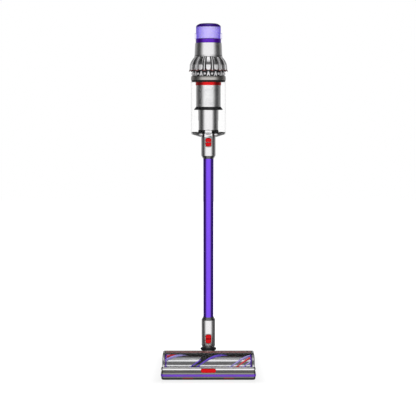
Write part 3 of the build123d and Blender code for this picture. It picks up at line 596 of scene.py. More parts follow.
def bumper():
    """The bumper: bright shoulder, shaded cove, face with its stripe, black skid and two red gates."""
    low, high = box("front_bumper")
    stripe = box("bumper_stripe")
    top, back = high.z, -6.5
    shoulder = [(back, top)] + [(-4.2 * (1 - math.sin(a)), top - 6.0 * (1 - math.cos(a)))
                                for a in [math.pi / 2 * k / 9 for k in range(10)]]
    bands = {
        "bumper_shoulder": ("nickel", shoulder + [(-0.1, top - 9.2), (-1.0, top - 10.2),
                                                  (back, top - 10.2)]),
        # the cove band takes the darker colour as painted shade
        "bumper_cove": ("cove", [(back, top - 10.0), (-1.0, top - 10.0), (-1.9, top - 12.0),
                                 (-1.7, top - 14.5), (-0.5, top - 17.2), (0, top - 18.0),
                                 (back, top - 18.0)]),
        "bumper_face": ("head_face", [(back, top - 18.1), (0, top - 18.1), (0, stripe[1].z),
                                      (-1.2, stripe[1].z), (-1.2, stripe[0].z), (0, stripe[0].z),
                                      (0, low.z + 9.3), (back, low.z + 9.3)]),
        "bumper_skid": ("skid", [(back, low.z + 9.1), (-0.4, low.z + 9.1), (-0.5, low.z + 5.0),
                                 (-1.6, low.z + 1.6), (-3.4, low.z), (back, low.z)]),
    }
    for name, (material, outline) in bands.items():
        bm = bmesh.new()
        wrap(bm, outline)
        piece(name, bm, "head", material, ["front_bumper"])

    bm = bmesh.new()
    band = [(-1.1, stripe[1].z - 0.1), (1.0, stripe[1].z - 0.4),
            (1.3, stripe[1].z - 1.5), (1.3, stripe[0].z + 1.5),
            (1.0, stripe[0].z + 0.4), (-1.1, stripe[0].z + 0.1)]
    wrap(bm, band)
    piece("bumper_band", bm, "head", "violet", ["bumper_stripe"])

    gate_centre = box("gate_shutters")[1].x - 21
    for sign, side in ((-1, "left"), (1, "right")):
        at = Matrix.Translation((sign * gate_centre, 0, 7.6)) @ XZ_ALONG_Y
        bm = bmesh.new()
        prism(bm, pill(20, 3.2), low.y + 0.15, low.y + 1.6, at, 0.3)
        piece(f"gate_recess_{side}", bm, "head", "rubber")
        bm = bmesh.new()
        prism(bm, pill(19, 2.4), low.y - 0.35, low.y + 0.5, at, 0.3)
        piece(f"gate_blade_{side}", bm, "head", "red_dark")


def slider():
    """The suction slider's track and its knob, a ribbed pill with a notch in its middle."""
    low, high = box("suction_slider")
    face = box("front_bumper")[0].y
    half = high.x
    at = Matrix.Translation((0, 0, (low.z + high.z) / 2)) @ XZ_ALONG_Y
    bm = bmesh.new()
    prism(bm, pill(half + 2.5, 8.3), face + 0.1, face + 2, at, 0.15)
    piece("slider_track", bm, "head", "cove")
    bm = bmesh.new()
    crest = (high.z - low.z) / 2
    ends = pill(half, crest)
    across = [half * 0.5 * (1 - k / 8) for k in range(17)]
    notched = [(x, crest - 1.2 * math.exp(-(x / 2.6) ** 2)) for x in across]
    each = len(ends) // 2
    prism(bm, ends[:each] + notched + ends[each:], low.y + 0.1, face + 0.05, at, 1.5, 6)
    for k in (-2, -1, 1, 2):
        rib = [(k * 4.5 + x, z) for x, z in rounded(rect(-0.8, -4, 0.8, 4), 0.7, 3)]
        prism(bm, rib, low.y, low.y + 1, at, 0.3)
    piece("slider_knob", bm, "slider", "red", ["suction_slider"])


STRIP_TURN = -346.0             # the real roller's strips turn this far from its left end to its right
STRIPS = (("lilac", 80, 1.0), ("red", 105, 1.0), ("lilac", 133, 1.0), ("violet", 276, 0.41),
          ("violet", 302, 1.0))


def helix_band(bm, edges, root, tip, rough_tip, rng, span=(0.0, 1.0), steps=220, across=6):
    """A strip wound on the roller between two edge angles, given by edges(share of its length)."""
    reach = ROLLER_HIGH.x - 4
    rings = []
    for k in range(steps + 1):
        share = span[0] + (span[1] - span[0]) * k / steps
        x = -reach + 2 * reach * share
        first, last = (math.radians(a) for a in edges(share))
        radius = tip - rough_tip * rng.random()
        ring = []
        for j in range(across + 1):
            a = first + (last - first) * j / across
            crown = radius - 0.6 * (2 * j / across - 1) ** 2
            ring.append((x, *about_roller(crown, a)))
        for a in (last, first):
            ring.append((x, *about_roller(root, a)))
        rings.append(ring)
    loft(bm, rings)


def brush_bar():
    """The roller's sleeve, its wound nylon strips and its wide carbon filament bands."""
    rng = random.Random(4)
    end = ROLLER_HIGH.x
    bm = bmesh.new()
    sleeve = [(27, -end), (CORE_R, -end), (CORE_R, end), (10, end), (10, end - 5), (27, end - 5)]
    lathe(bm, rounded(sleeve, 0.8), 128, along_x(ROLLER_Y, ROLLER_Z))
    piece("roller_sleeve", bm, "brush_bar", "roller", ["brush_core"])

    rows = 7

    def carbon_row(row):
        """The edge angles of one of the band's rows of tufts, which fan out to the right."""
        def edges(share):
            right = 298 + STRIP_TURN * share
            wide = 17 + 42 * min(1.0, max(0.0, (share - 0.36) / 0.10))
            return right - wide * (row + 0.68) / rows, right - wide * row / rows
        return edges

    bm = bmesh.new()
    for row in range(rows):
        helix_band(bm, carbon_row(row), CORE_R - 0.3, CORE_R + 3.6, 0.7, rng, (0.0, 1.0), 240, 4)
    piece("carbon_filament_bands", bm, "brush_bar", "carbon", ["carbon_bands"])
    for colour in ("violet", "lilac", "red"):
        bm = bmesh.new()
        for strip, start, until in STRIPS:
            if strip == colour:
                helix_band(bm, lambda share: (start - 4.5 + STRIP_TURN * share,
                                              start + 4.5 + STRIP_TURN * share),
                           CORE_R - 0.3, CORE_R + 4.9, 0.8, rng, (0.0, until))
        piece(f"nylon_strip_{colour}", bm, "brush_bar", f"bristle_{colour}",
              ["soft_strips"])


def wheel(name, node):
    """A wheel with a ribbed tyre and a dished hub."""
    low, high = box(node)
    y, z, radius = (low.y + high.y) / 2, (low.z + high.z) / 2, (high.z - low.z) / 2
    matrix = along_x(y, z)
    wide = high.x - low.x
    tread = [(radius - (0.5 if k % 2 else 0), low.x + wide * (0.16 + 0.68 * k / 14)) for k in range(15)]
    bm = bmesh.new()
    lathe(bm, [(radius * 0.62, low.x + 1), (radius * 0.93, low.x)] + tread
          + [(radius * 0.93, high.x), (radius * 0.62, high.x - 1)], 96, matrix)
    piece(f"{name}_tyre", bm, BODY_OF[node], "rubber")
    bm = bmesh.new()
    lathe(bm, rounded([(3.1, low.x + 0.5), (6.2, low.x + 0.5), (6.4, low.x + 3),
                       (radius * 0.6, low.x + 2.4), (radius * 0.66, low.x + 0.6),
                       (radius * 0.66, high.x - 0.6), (radius * 0.6, high.x - 2.4),
                       (6.4, high.x - 3), (6.2, high.x - 0.5),
                       (3.1, high.x - 0.5)], 0.5, 3), 96, matrix)
    piece(f"{name}_hub", bm, BODY_OF[node], "graphite", [node])


def neck():
    """The neck's ribbed barrel and its black shoulders."""
    top = box("neck_elbow")[1].z
    pin = box("neck_pins")
    y, z = (pin[0].y + pin[1].y) / 2, (pin[0].z + pin[1].z) / 2
    radius, half = 20, 27
    bm = bmesh.new()
    ribs = []
    for k in range(23):
        x = -half + 2 * half * k / 22
        ribs.append((radius - (0.9 if k % 2 and 2 < k < 20 else 0.2), x))
    lathe(bm, [(radius * 0.72, -half), (radius - 1.5, -half)] + ribs
          + [(radius - 1.5, half), (radius * 0.72, half)], 112, along_x(y, z))
    piece("neck_barrel", bm, "neck", "graphite_soft", ["neck_elbow"])
    bm = bmesh.new()
    lathe(bm, rounded([(16.5, z + 16), (19.5, z + 12), (19.5, 67.5), (26.2, 73.5), (29.2, 75.2),
                       (29.4, 78.6), (26.2, 80.6), (23.5, top), (16.5, top)], 1.6), 128)
    piece("neck_shoulders", bm, "neck", "black_gloss")


for side_name, cap_node, cap_sign in (("left", "side_cap_left", -1), ("right", "side_cap_right", 1)):
    end_cheek(f"end_cheek_{side_name}", cap_node, cap_sign)
roller_window()
head_shell()
bumper()
slider()
brush_bar()
for wheel_side in ("left", "right"):
    wheel(f"wheel_{wheel_side}", f"rear_wheel_{wheel_side}")
neck()


# ---------------------------------------------------------------- wand
def push_button(name, node):
    """A release button: two crowned halves bent round the collar."""
    low, high = box(node)
    middle, half_wide = (low.z + high.z) / 2, high.x
    crown = -low.y
    bm = bmesh.new()
    for part_low, part_high in ((middle + 0.35, high.z - 0.2), (low.z + 0.2, middle - 0.35)):
        upper = part_low > middle
        corners = rect(-half_wide, part_low, half_wide, part_high)
        soft = [0.6] * 2 + [8] * 2 if upper else [8] * 2 + [0.6] * 2
        outline = rounded(corners, soft, 7)
        centre = Vector((0, (part_low + part_high) / 2))
        rings = [[(x, high.y - 0.1, z) for x, z in outline]]
        for inset, depth in ((0, 1.1), (0.25, 0.55), (0.7, 0.2), (1.5, 0.0), (4.5, 0.25), (7.5, 0.6)):
            ring = []
            for x, z in outline:
                out = Vector((x, z)) - centre
                scale = max(0.05, 1 - inset / max(out.length, 1e-3))
                px, pz = out.x * scale, centre.y + out.y * scale
                ring.append((px, -math.sqrt(crown ** 2 - px ** 2) + depth, pz))
            rings.append(ring)
        loft(bm, rings)
    piece(name, bm, BODY_OF[node], "red", [node])


def recess_frame(name, node, body):
    """The thin raised frame round a release button."""
    low, high = box(node)
    middle, half_high, half_wide = (low.z + high.z) / 2, (high.z - low.z) / 2, high.x
    collar_r = box("wand_lower_collar")[1].x
    bm = bmesh.new()
    rings = []
    for grow, out in ((0.75, -0.8), (0.75, 0.28), (1.1, 0.42), (2.1, 0.42), (2.5, 0.22), (2.7, -0.6)):
        wide, tall = half_wide + grow, half_high + grow
        outline = rounded(rect(-wide, middle - tall, wide, middle + tall), 8 + grow, 8)
        rings.append([(x, -math.sqrt((collar_r + out) ** 2 - x ** 2), z) for x, z in outline])
    loft(bm, rings, closed=True)
    piece(name, bm, body, "nickel_dark")


def collar_seams():
    """Dark lines at the lower collar's neck end and at the upper collar's door end."""
    for name, z, r in (("seam_low", box("wand_lower_collar")[0].z + 3.2, 25.62),
                       ("seam_high", box("wand_upper_collar")[1].z - 0.9, 25.0)):
        bm = bmesh.new()
        lathe(bm, rounded(rect(r - 0.7, z - 0.8, r + 0.1, z + 0.8), 0.2), 128)
        piece(name, bm, "wand", "black_gloss")


def wand_tube():
    """The anodised tube."""
    low, high = box("wand_tube")
    radius = high.x
    bm = bmesh.new()
    lathe(bm, rect(radius - 1.6, low.z, radius, high.z), 160)
    piece("wand_tube_skin", bm, "wand", "wand", ["wand_tube"])


push_button("lower_button_cap", "lower_release_button")
push_button("upper_button_cap", "upper_release_button")
recess_frame("lower_button_frame", "lower_release_button", "wand")
recess_frame("upper_button_frame", "upper_release_button", "wand")
collar_seams()
wand_tube()


# ---------------------------------------------------------------- bin and shroud
def door():
    """The dished door with its ribs and hinge lugs, two pale round bosses and the latch."""
    low, high = box("bin_door")
    rim = high.x
    bm = bmesh.new()
    lathe(bm, rounded([(22.3, low.z + 1.2), (34, low.z + 1.0), (50, low.z + 7.0), (rim, low.z + 10.6),
                       (rim, low.z + 12.4), (54, low.z + 12.6), (36, high.z - 0.6), (22.3, high.z - 0.6)],
                      [0.5, 5, 5, 0.7, 0.7, 3, 2, 0.5], 5), 160)
    for k in range(20):
        at = Matrix.Rotation(TURN * (k + 0.5) / 20, 4, "Z")
        rib = [(30, low.z + 0.4), (58, low.z + 9.2), (58, low.z + 10.5), (30, low.z + 3)]
        loft(bm, [[at @ Vector((r, t, z)) for r, z in rib] for t in (-0.6, 0.6)])
    pin_low, pin_high = box("door_hinge_pin")
    hinge_y, hinge_z = (pin_low.y + pin_high.y) / 2, (pin_low.z + pin_high.z) / 2
    for inner, outer in ((-16, -8.3), (8.3, 16)):               # a lug on each side of the hinge's middle
        lathe(bm, rounded(rect(2.1, inner, 4.4, outer), 0.6, 3), 40, along_x(hinge_y, hinge_z))
        arm = rounded([(56, low.z + 10.8), (hinge_y - 1.5, hinge_z - 4.3),
                       (hinge_y - 2.2, hinge_z - 0.2), (56, hinge_z - 0.2)], 0.6, 3)
        prism(bm, arm, inner + 0.6, outer - 0.6, YZ_ALONG_X, 0.5, 2)
    piece("door_dish", bm, "door", "black_gloss", ["bin_door"])
    bm = bmesh.new()
    for sign in (-1, 1):
        at = Matrix.Translation((sign * 27, -53.6, low.z + 10.6)) @ Matrix.Rotation(
            math.radians(90), 4, "X") @ Matrix.Rotation(sign * math.radians(20), 4, "Y") @ Matrix.Diagonal(
            (1.0, 0.62, 1.0, 1.0))
        lathe(bm, rounded([(0, -5), (8, -5), (8, 1.4), (0, 2.6)], [0, 0.5, 2, 0], 5), 48, at)
    piece("door_bosses", bm, "door", "nickel_soft")
    bm = bmesh.new()
    for reach, bottom, top, half in ((61.9, 0.6, 14.4, 14.6), (59.4, 14.4, 25.0, 12.6)):
        outline = rounded([(-half, low.z + bottom), (half, low.z + bottom), (half * 0.92, low.z + top),
                           (-half * 0.92, low.z + top)], 1.6, 4)
        loft(bm, [[(x * (1 - inset), -math.sqrt(reach ** 2 - x * x) + depth, z)
                   for x, z in outline] for inset, depth in ((0, 4.5), (0, 0.6), (0.03, 0.1), (0.08, 0.0))])
    piece("door_latch", bm, "door", "nickel")


def bin_shell():
    """The clear bin: a thin wall, a lug at its back for the hinge and a rim at each end."""
    low, high = box("bin_cylinder")
    outer, bottom = 62.4, 866.5
    wall = 1.9
    inner = outer - wall
    bm = bmesh.new()
    lathe(bm, rounded(rect(inner, bottom, outer, high.z), 0.5, 3), 160)
    lug = rounded([(-8, 60), (8, 60), (6.5, high.y), (-6.5, high.y)], 1.5, 4)
    prism(bm, lug, low.z, low.z + 12, bevel=0.8)
    piece("bin_wall", bm, "bin", "bin_clear", ["bin_cylinder"])
    bm = bmesh.new()
    for ring_z in (bottom + 1.2, high.z - 1.4):
        lathe(bm, rounded(rect(outer - 0.7, ring_z - 0.8, outer + 0.05, ring_z + 0.8), 0.3, 3), 160)
    piece("bin_rims", bm, "bin", "window_clear")


def bin_collar():
    """The smoked collar over the bin and the black gasket under it."""
    high = box("bin_collar")[1]
    rim = high.x
    bm = bmesh.new()
    lathe(bm, rounded([(40, 1052.4), (rim, 1052.4), (rim, 1060), (rim - 0.9, high.z),
                       (40, high.z)], [0, 1.2, 3, 1.2, 0], 4), 160)
    piece("collar_band", bm, "main", "nickel_dark", ["bin_collar"])
    bm = bmesh.new()
    lathe(bm, rounded([(52.2, 1046.6), (58.6, 1046.6), (60.3, 1048.2), (60.3, 1052.2), (52.2, 1052.2)],
                      [0, 1, 1, 0.3, 0], 4), 160)
    piece("collar_gasket", bm, "main", "rubber", ["bin_collar"])


CYCLONE_PROFILE = ((1.0, 49.5), (0.86, 57.0), (0.72, 62.4), (0.60, 65.2), (0.36, 66.4), (0.28, 66.0))


def cyclone_reach(share):
    """The cyclone pack's outer radius at a share of its height."""
    for (s1, r1), (s0, r0) in zip(CYCLONE_PROFILE, CYCLONE_PROFILE[1:]):
        if s0 <= share <= s1:
            return r0 + (r1 - r0) * (share - s0) / (s1 - s0)
    return CYCLONE_PROFILE[-1][1]


def petal(bm, turn, half, depth, corner, shares, raise_by, steps=26):
    """One upright lobe of the pack: a curved shell, half wide, that follows the pack's outline."""
    at = Matrix.Rotation(-math.pi / 2 + turn, 4, "Z")
    low, high = box("cyclone_cones")
    rings = []
    for step in range(steps + 1):
        share = shares[0] + (shares[1] - shares[0]) * step / steps
        z = low.z + (high.z - low.z) * share
        front = cyclone_reach(share) + raise_by
        wide = half(share)
        outline = rounded([(front - depth, -wide * 0.75), (front, -wide), (front, wide),
                           (front - depth, wide * 0.75)], [0.5, corner, corner, 0.5], 6)
        rings.append([at @ Vector((x, y, z)) for x, y in outline])
    loft(bm, rings)


def cyclone_pack():
    """Fourteen cyclones: lobes between thin ribs, the zigzag ribbon, feet, bosses and a dark core."""
    count = 14
    low, high = box("cyclone_cones")
    foot = low.z
    bodies, ribs, feet, tips, ribbon = (bmesh.new() for _ in range(5))
    for k in range(count):
        turn, between = TURN * k / count, TURN * (k + 0.5) / count
        petal(bodies, turn, lambda share: (8.7 - 1.8 * max(0.0, share - 0.55) / 0.45
                                           - 1.6 * max(0.0, 0.45 - share) / 0.14),
              18, 2.6, (1.0, 0.31), 0.0)
        petal(ribs, between, lambda share: 2.1 - 0.7 * share, 14, 1.5, (1.0, 0.30), 0.8)
        at = Matrix.Rotation(-math.pi / 2 + turn, 4, "Z")
        web = [(-1.6, foot + 16), (-6.2, foot + 0.8), (-2.6, foot + 0.8),
               (0, foot + 6), (2.6, foot + 0.8), (6.2, foot + 0.8),
               (1.6, foot + 16)]
        loft(feet, [[at @ Vector((r, x, z)) for x, z in web] for r in (52, 58.6)])
        boss = Matrix.Rotation(-math.pi / 2 + between, 4, "Z") @ Matrix.Translation(
            (57.5, 0, foot + 8.2)) @ Matrix.Rotation(math.radians(84), 4, "Y")
        lathe(tips, rounded([(0, -6), (3.2, -6), (4.6, 1.2), (3.0, 2.4), (0, 2.9)], [0, 1, 1.2, 1, 0], 4),
              28, boss)
    rings = []
    steps = count * 16
    for k in range(steps):
        angle = -math.pi / 2 + TURN * k / steps
        wave = abs((k / 16) % 1.0 - 0.5) * 2                # 1 at a lobe's middle, 0 at a rib
        height = foot + 17.5 + 6.5 * wave
        radius = 65.2 + 3.6 * (1 - wave)
        cross = ((-2.4, -1.5), (0, -1.1), (0.7, 0), (0, 1.1), (-2.4, 1.5))
        rings.append([((radius + r) * math.cos(angle), (radius + r) * math.sin(angle), height + z) for r,
                      z in cross])
    loft(ribbon, rings, closed=True)
    piece("cyclone_bodies", bodies, "main", "nickel", ["cyclone_cones"])
    # ribs, feet and bosses take the lighter nickel copy, a painted highlight
    piece("cyclone_ribs", ribs, "main", "nickel_painted_highlight")
    piece("cyclone_feet", feet, "main", "nickel_painted_highlight")
    piece("cyclone_bosses", tips, "main", "nickel_painted_highlight")
    piece("cyclone_ribbon", ribbon, "main", "copper", ["cyclone_fin_ring"])
    bm = bmesh.new()
    lathe(bm, [(40, foot + 0.3), (54, foot + 0.3), (55, foot + 20),
               (50, foot + 40), (43, high.z - 0.3), (40, high.z - 0.3)], 112)
    piece("cyclone_shadow_core", bm, "main", "rubber")


def filter_unit():
    """The pleated paper inside the filter's cage."""
    low, high = box("filter_media")
    pleats = 90
    bm = bmesh.new()
    lathe(bm, rect(30, low.z, 40.9, high.z), pleats * 4,
          flute=lambda a, r: r if r < 35 else r - 0.7 * (0.5 + 0.5 * math.cos(a * pleats)))
    piece("filter_pleats", bm, "filter", "paper", ["filter_media"])


def display_details():
    """A dark glass panel with a generic arc of level marks."""
    high = box("display")[1]
    bm = bmesh.new()
    centre = Matrix.Translation((0, -2, 0))
    lathe(bm, rounded([(0, high.z - 0.75), (10.8, high.z - 0.75), (10.8, high.z - 0.1),
                       (0, high.z - 0.05)], 0.2), 96, centre)
    piece("display_glass", bm, "main", "screen")
    bm = bmesh.new()
    for k in range(9):
        angle = math.radians(210 - 30 * k)
        at = centre @ Matrix.Rotation(angle, 4, "Z")
        mark = rounded([(7.2, -0.8), (9.2, -1.1), (9.2, 1.1), (7.2, 0.8)], 0.3, 2)
        loft(bm, [[at @ Vector((x, y, z)) for x, y in mark] for z in (high.z - 0.2, high.z + 0.05)])
    piece("display_marks", bm, "main", "glow")


def handle():
    """The handle with a slot for the trigger, its foot and bin runner, the ribbed grip and screw covers."""
    back, half = box("handle_grip")[1].y - 0.2, 17
    bottom = box("battery_case")[1].z + 0.4
    front = [(63.9, bottom), (63.9, 1066), (79, 1066), (85, 1038), (106, 1035), (113.5, 1048)]
    front_soft = [6, 6, 7, 12, 12, 12]
    upper = [(105, 1140), (92, 1145), (44, 1146), (44, 1176), (98, 1180), (136, 1169), (149, 1140),
             (146, 1090), (back, 1040), (back, bottom)]
    upper_soft = [18, 16, 6, 6, 24, 30, 34, 60, 40, 7]
    slot_path = [(113.5, 1083.5), (131, 1083.5), (131, 1132.5), (109, 1132.5)]
    plain, plain_soft = front + [(114, 1118)] + upper, front_soft + [18] + upper_soft
    slotted = rounded(front + slot_path + upper, front_soft + [1] * 4 + upper_soft, 7)
    bm = bmesh.new()
    for side in (-1, 1):
        slab(bm, plain, plain_soft, side * 7.6, side * half, 5.5, YZ_ALONG_X)
    prism(bm, slotted, -7.7, 7.7, YZ_ALONG_X)
    piece("handle_skin", bm, "main", "graphite", ["handle_grip"])

    bm = bmesh.new()
    foot = rounded(rect(-34, 79, 34, back), 10, 6)
    prism(bm, foot, bottom, bottom + 7, bevel=1.6)
    runner = rounded([(-13, 64.2), (13, 64.2), (12.6, 75.3), (-12.6, 75.3)], 2, 4)
    prism(bm, runner, 886, 1030, bevel=1.5)
    for k in range(9):
        step = Matrix.Translation((0, 0, 893 + 5 * k))
        prism(bm, rounded(rect(-9, 74.6, 9, 75.9), 0.5, 3), 0, 1.8, step, 0.3)
    piece("handle_foot", bm, "main", "graphite")

    bm = bmesh.new()
    rings = []
    count = 46
    grip_low, grip_tall, lean = 1049, 31, 0.075
    for k in range(count + 1):
        z = grip_low + grip_tall * k / count
        rib = 0.35 if k % 4 in (1, 2) and 3 < k < count - 3 else 0.0
        sink = 1.2 if k in (0, count) else 0.0
        y_back = back - 0.1 - (z - grip_low) * lean - rib - sink
        y_front, wide = 113.0 + rib + sink, half + 0.35 - rib - sink
        rings.append([(x, y, z) for x, y in rounded(rect(-wide, y_front, wide, y_back), 9.5, 7)])
    loft(bm, rings)
    piece("grip_overmould", bm, "main", "graphite_soft")

    for side in (-1, 1):
        bm = bmesh.new()
        lathe(bm, rounded([(0, 15.6), (5.6, 15.6), (5.6, 17.5), (4.6, 17.9),
                           (3.8, 17.1), (0, 17.1)], [0, 0, 0.4, 0.4, 0.4, 0], 3),
              48, Matrix.Translation((0, 128, 1151)) @ Matrix.Rotation(side * math.pi / 2, 4, "Y"))
        piece(f"handle_screw_cover_{side + 1}", bm, "main", "black_gloss")


def battery():
    """The battery's shell with its seams and louvres, the level lamps and the fittings in its base."""
    low, high = box("battery_case")
    wide, front, back = high.x - 0.3, low.y + 0.2, high.y - 0.5
    plan = rounded(rect(-wide, front, wide, back), 12, 8)
    levels = [(5 * (1 - math.sin(a)), low.z + 5 * (1 - math.cos(a)))
              for a in [math.pi / 2 * k / 6 for k in range(7)]]
    for z in (24, 96):
        levels += [(0, low.z + z - 0.8), (0.9, low.z + z - 0.5),
                   (0.9, low.z + z + 0.5), (0, low.z + z + 0.8)]
    levels += [(0, high.z - 1.2), (0.4, high.z - 0.4), (1.2, high.z)]
    middle = Vector((0, (front + back) / 2))
    rings = []
    for inset, z in levels:
        shrink = Vector((1 - inset / wide, 1 - inset / (back - middle.y)))
        rings.append([(x * shrink.x, middle.y + (y - middle.y) * shrink.y, z) for x, y in plan])
    bm = bmesh.new()
    loft(bm, rings)
    for side in (-1, 1):
        for k in range(8):
            at = Matrix.Translation((0, 0, low.z + 36 + 6 * k))
            fin = [(side * (wide - 0.6), 94), (side * (wide + 0.25), 95.5),
                   (side * (wide + 0.25), 130.5), (side * (wide - 0.6), 132)]
            prism(bm, fin, 0, 2.6, at, 0.3, 2)
    piece("battery_shell", bm, "main", "graphite_soft", ["battery_case"])

    bm = bmesh.new()
    for k in range(3):
        at = Matrix.Translation(((k - 1) * 8, 0, low.z + 84)) @ XZ_ALONG_Y
        prism(bm, pill(2.4, 1.1), back - 0.4, back + 0.3, at, 0.2, 2)
    piece("battery_lamps", bm, "main", "glow")
    bm = bmesh.new()
    lathe(bm, rounded(rect(4.2, low.z + 0.1, 6.4, low.z + 2), 0.4, 3), 64, Matrix.Translation((0, 113, 0)))
    for x, y in ((-27, 92), (27, 92), (0, 140)):
        lathe(bm, rounded(rect(0, low.z + 0.2, 3.2, low.z + 2), [0, 0.5, 0, 0], 3), 32,
              Matrix.Translation((x, y, 0)))
    piece("battery_base_fittings", bm, "main", "steel")


def head_back():
    """Raised panels with ribs, screw heads on the head's rear, and rings on its left cheek."""
    high = box("head_housing")[1]
    back = high.y
    bm = bmesh.new()
    for side in (-1, 1):
        x_in, x_out = side * 52, side * (high.x - 9)
        panel = rounded(rect(x_in, 17, x_out, 54), 6, 5)
        prism(bm, panel, back - 0.6, back + 1.3, XZ_ALONG_Y, 0.7, 3)
        for k in range(4):
            z = 25 + 7 * k
            rib = rounded(rect(x_in + side * 10, z - 1.1, x_out - side * 18, z + 1.1), 1.0, 3)
            prism(bm, rib, back + 0.8, back + 2.2, XZ_ALONG_Y, 0.5, 2)
    piece("head_rear_panels", bm, "head", "graphite")
    bm = bmesh.new()
    for side in (-1, 1):
        at = Matrix.Translation((side * (high.x - 17), back, 35.5)) @ Matrix.Rotation(
            -math.pi / 2, 4, "X")
        lathe(bm, rounded([(0, 0), (4, 0), (4, 2.2), (2.2, 2.6), (1.6, 1.6),
                           (0, 1.6)], [0, 0, 0.8, 0.3, 0.2, 0], 3), 40, at)
    piece("head_rear_screws", bm, "head", "steel")
    bm = bmesh.new()
    face = box("side_cap_left")[0].x
    for inner, outer in ((17, 19), (27, 30)):
        lathe(bm, rounded(rect(inner, face - 0.7, outer, face + 1), [0.5, 0.5, 0, 0], 3), 112,
              along_x(ROLLER_Y, ROLLER_Z))
    piece("cheek_rings", bm, "head", "nickel_dark")


door()
bin_shell()
bin_collar()
cyclone_pack()
filter_unit()
display_details()
handle()
battery()
head_back()

# ---------------------------------------------------------------- CAD pieces that stay as they are
FINISH = {
    "sole_plate": "graphite", "sole_strip": "rubber", "neck_cradle": "graphite", "wheel_axle": "steel",
    "brush_motor": "steel", "head_screws": "steel", "neck_pins": "steel", "gate_shutters": "red_dark",
    "bearing_carrier": "graphite", "end_cap_lock": "graphite", "drive_dog": "graphite",
    "brush_end_rings": "violet", "sole_rollers": "graphite", "neck_spigot": "nickel",
    "wand_lower_collar": "nickel", "wand_upper_collar": "nickel",
    "inlet_spigot": "nickel", "door_seal": "rubber", "door_hinge_pin": "steel", "shroud": "shroud",
    "shroud_ring": "red_metal", "shroud_skirt": "rubber",
    "dust_column": "nickel", "column_seal": "rubber", "cyclone_core": "black_gloss",
    "motor_housing": "nickel", "motor_can": "steel",
    "battery_screws": "steel", "display": "black_gloss", "trigger": "red",
    "impeller": "aluminium", "bin_lever": "red", "mode_button": "violet", "filter_ring": "ring_violet",
    "filter_cage": "cage_clear", "filter_cap": "indigo",
}
for node, finish in FINISH.items():
    mesh = NODES[node].data
    mesh.materials.clear()
    mesh.materials.append(MATERIAL[finish])

# ---------------------------------------------------------------- stage, light and camera
scene = bpy.context.scene
scene.view_settings.view_transform = "Standard"


def studio_world():
    """White behind the object; a soft front light, darker sides and a pale back in its reflections."""
    world = bpy.data.worlds.new("studio")
    world.use_nodes = True
    scene.world = world
    g = Graph(world.node_tree)
    background = g.tree.nodes["Background"]

    def ramp(value, stops):
        return g.ramp(value, [(position, (level, level, level)) for position, level in stops])

    direction = g.node("ShaderNodeSeparateXYZ")
    g.wire(g.node("ShaderNodeTexCoord").outputs["Generated"], direction.inputs[0])
    x, y, z = direction.outputs
    flat = g.math("SQRT", g.math("ADD", g.math("POWER", x, 2.0), g.math("POWER", y, 2.0)))
    facing = g.math("DIVIDE", y, g.math("MAXIMUM", flat, 0.001))
    toward = g.math("ADD", g.math("MULTIPLY", facing, 0.5), 0.5)      # 0 in front, 1 behind
    around = ramp(toward, [(0.0, 1.0), (0.12, 0.94), (0.19, 0.58), (0.30, 0.17), (0.42, 0.055),
                           (0.56, 0.05), (0.70, 0.14), (0.82, 0.27), (1.0, 0.42)])
    height = g.math("ADD", g.math("MULTIPLY", z, 0.5), 0.5)
    rise = ramp(height, [(0.0, 0.15), (0.22, 0.20), (0.28, 0.95), (0.595, 1.0), (0.65, 0.13), (0.91, 0.13),
                         (0.955, 1.0), (1.0, 1.0)])
    pattern = g.math("MULTIPLY", g.math("MULTIPLY", around, rise), 1.16)
    path = g.node("ShaderNodeLightPath")
    mixed = g.node("ShaderNodeMix", data_type="FLOAT")
    g.wire(path.outputs["Is Diffuse Ray"], mixed.inputs["Factor"])
    g.wire(pattern, mixed.inputs["A"])
    g.wire(g.math("ADD", g.math("MULTIPLY", height, 0.7), 0.35), mixed.inputs["B"])
    seen = g.node("ShaderNodeMix", data_type="FLOAT")
    g.wire(path.outputs["Is Camera Ray"], seen.inputs["Factor"])
    g.wire(mixed.outputs[0], seen.inputs["A"])
    seen.inputs["B"].default_value = 1.0
    g.wire(seen.outputs[0], background.inputs["Strength"])
    background.inputs["Color"].default_value = (1, 1, 1, 1)


FLOOR_REACH = 6                 # metres from the middle to each edge
FLOOR_DROP = 0.4 * MM           # below the wheels, so that nothing flickers


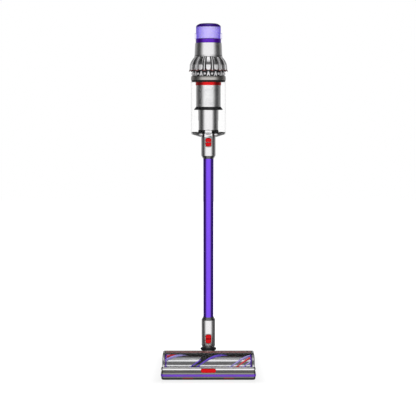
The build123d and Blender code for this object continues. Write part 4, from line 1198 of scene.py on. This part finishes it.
def studio_floor():
    """A pale floor with a faint gloss."""
    bm = bmesh.new()
    bmesh.ops.create_grid(bm, x_segments=1, y_segments=1, size=FLOOR_REACH)
    mesh = bpy.data.meshes.new("floor")
    bm.to_mesh(mesh)
    bm.free()
    floor = bpy.data.objects.new("floor", mesh)
    scene.collection.objects.link(floor)
    floor.location.z = CAD_BOX[0].z - FLOOR_DROP
    g = Surface()
    out = next(n for n in g.tree.nodes if n.type == "OUTPUT_MATERIAL")
    glow = g.node("ShaderNodeEmission")
    glow.inputs["Color"].default_value = (1, 1, 1, 1)
    glow.inputs["Strength"].default_value = 1.45
    gloss = g.node("ShaderNodeBsdfGlossy")
    gloss.inputs["Roughness"].default_value = 0.05
    split = g.node("ShaderNodeSeparateXYZ")
    g.wire(g.place, split.inputs[0])
    out_x = g.math("MAXIMUM", g.math("SUBTRACT", g.math("ABSOLUTE", split.outputs["X"]), CAD_BOX[1].x), 0.0)
    out_y = g.math("MAXIMUM", g.math("SUBTRACT", g.math("ABSOLUTE", split.outputs["Y"]), CAD_BOX[1].y), 0.0)
    away = g.math("SQRT", g.math("ADD", g.math("POWER", out_x, 2.0), g.math("POWER", out_y, 2.0)))
    mixed = g.node("ShaderNodeMixShader")
    mirror = g.math("SUBTRACT", 0.42, g.math("MULTIPLY", away, 2.4))
    g.wire(g.math("MAXIMUM", mirror, 0.0), mixed.inputs["Fac"])
    g.wire(glow.outputs[0], mixed.inputs[1])
    g.wire(gloss.outputs[0], mixed.inputs[2])
    g.wire(mixed.outputs[0], out.inputs["Surface"])
    mesh.materials.append(g.material)
    floor.visible_glossy = False
    floor.visible_diffuse = False


def camera():
    """Camera 3.5 m in front of the wand, level with the bin, turned down to the object's middle."""
    place = (-1.4 * MM, -3.5, 0.98)
    down = math.radians(6.27)
    data = bpy.data.cameras.new("camera")
    data.lens = 84.4
    data.clip_end = 50
    made = bpy.data.objects.new("camera", data)
    scene.collection.objects.link(made)
    made.location = place
    made.rotation_euler = (math.pi / 2 - down, 0, 0)
    scene.camera = made


studio_world()
studio_floor()
camera()

bpy.context.view_layer.update()
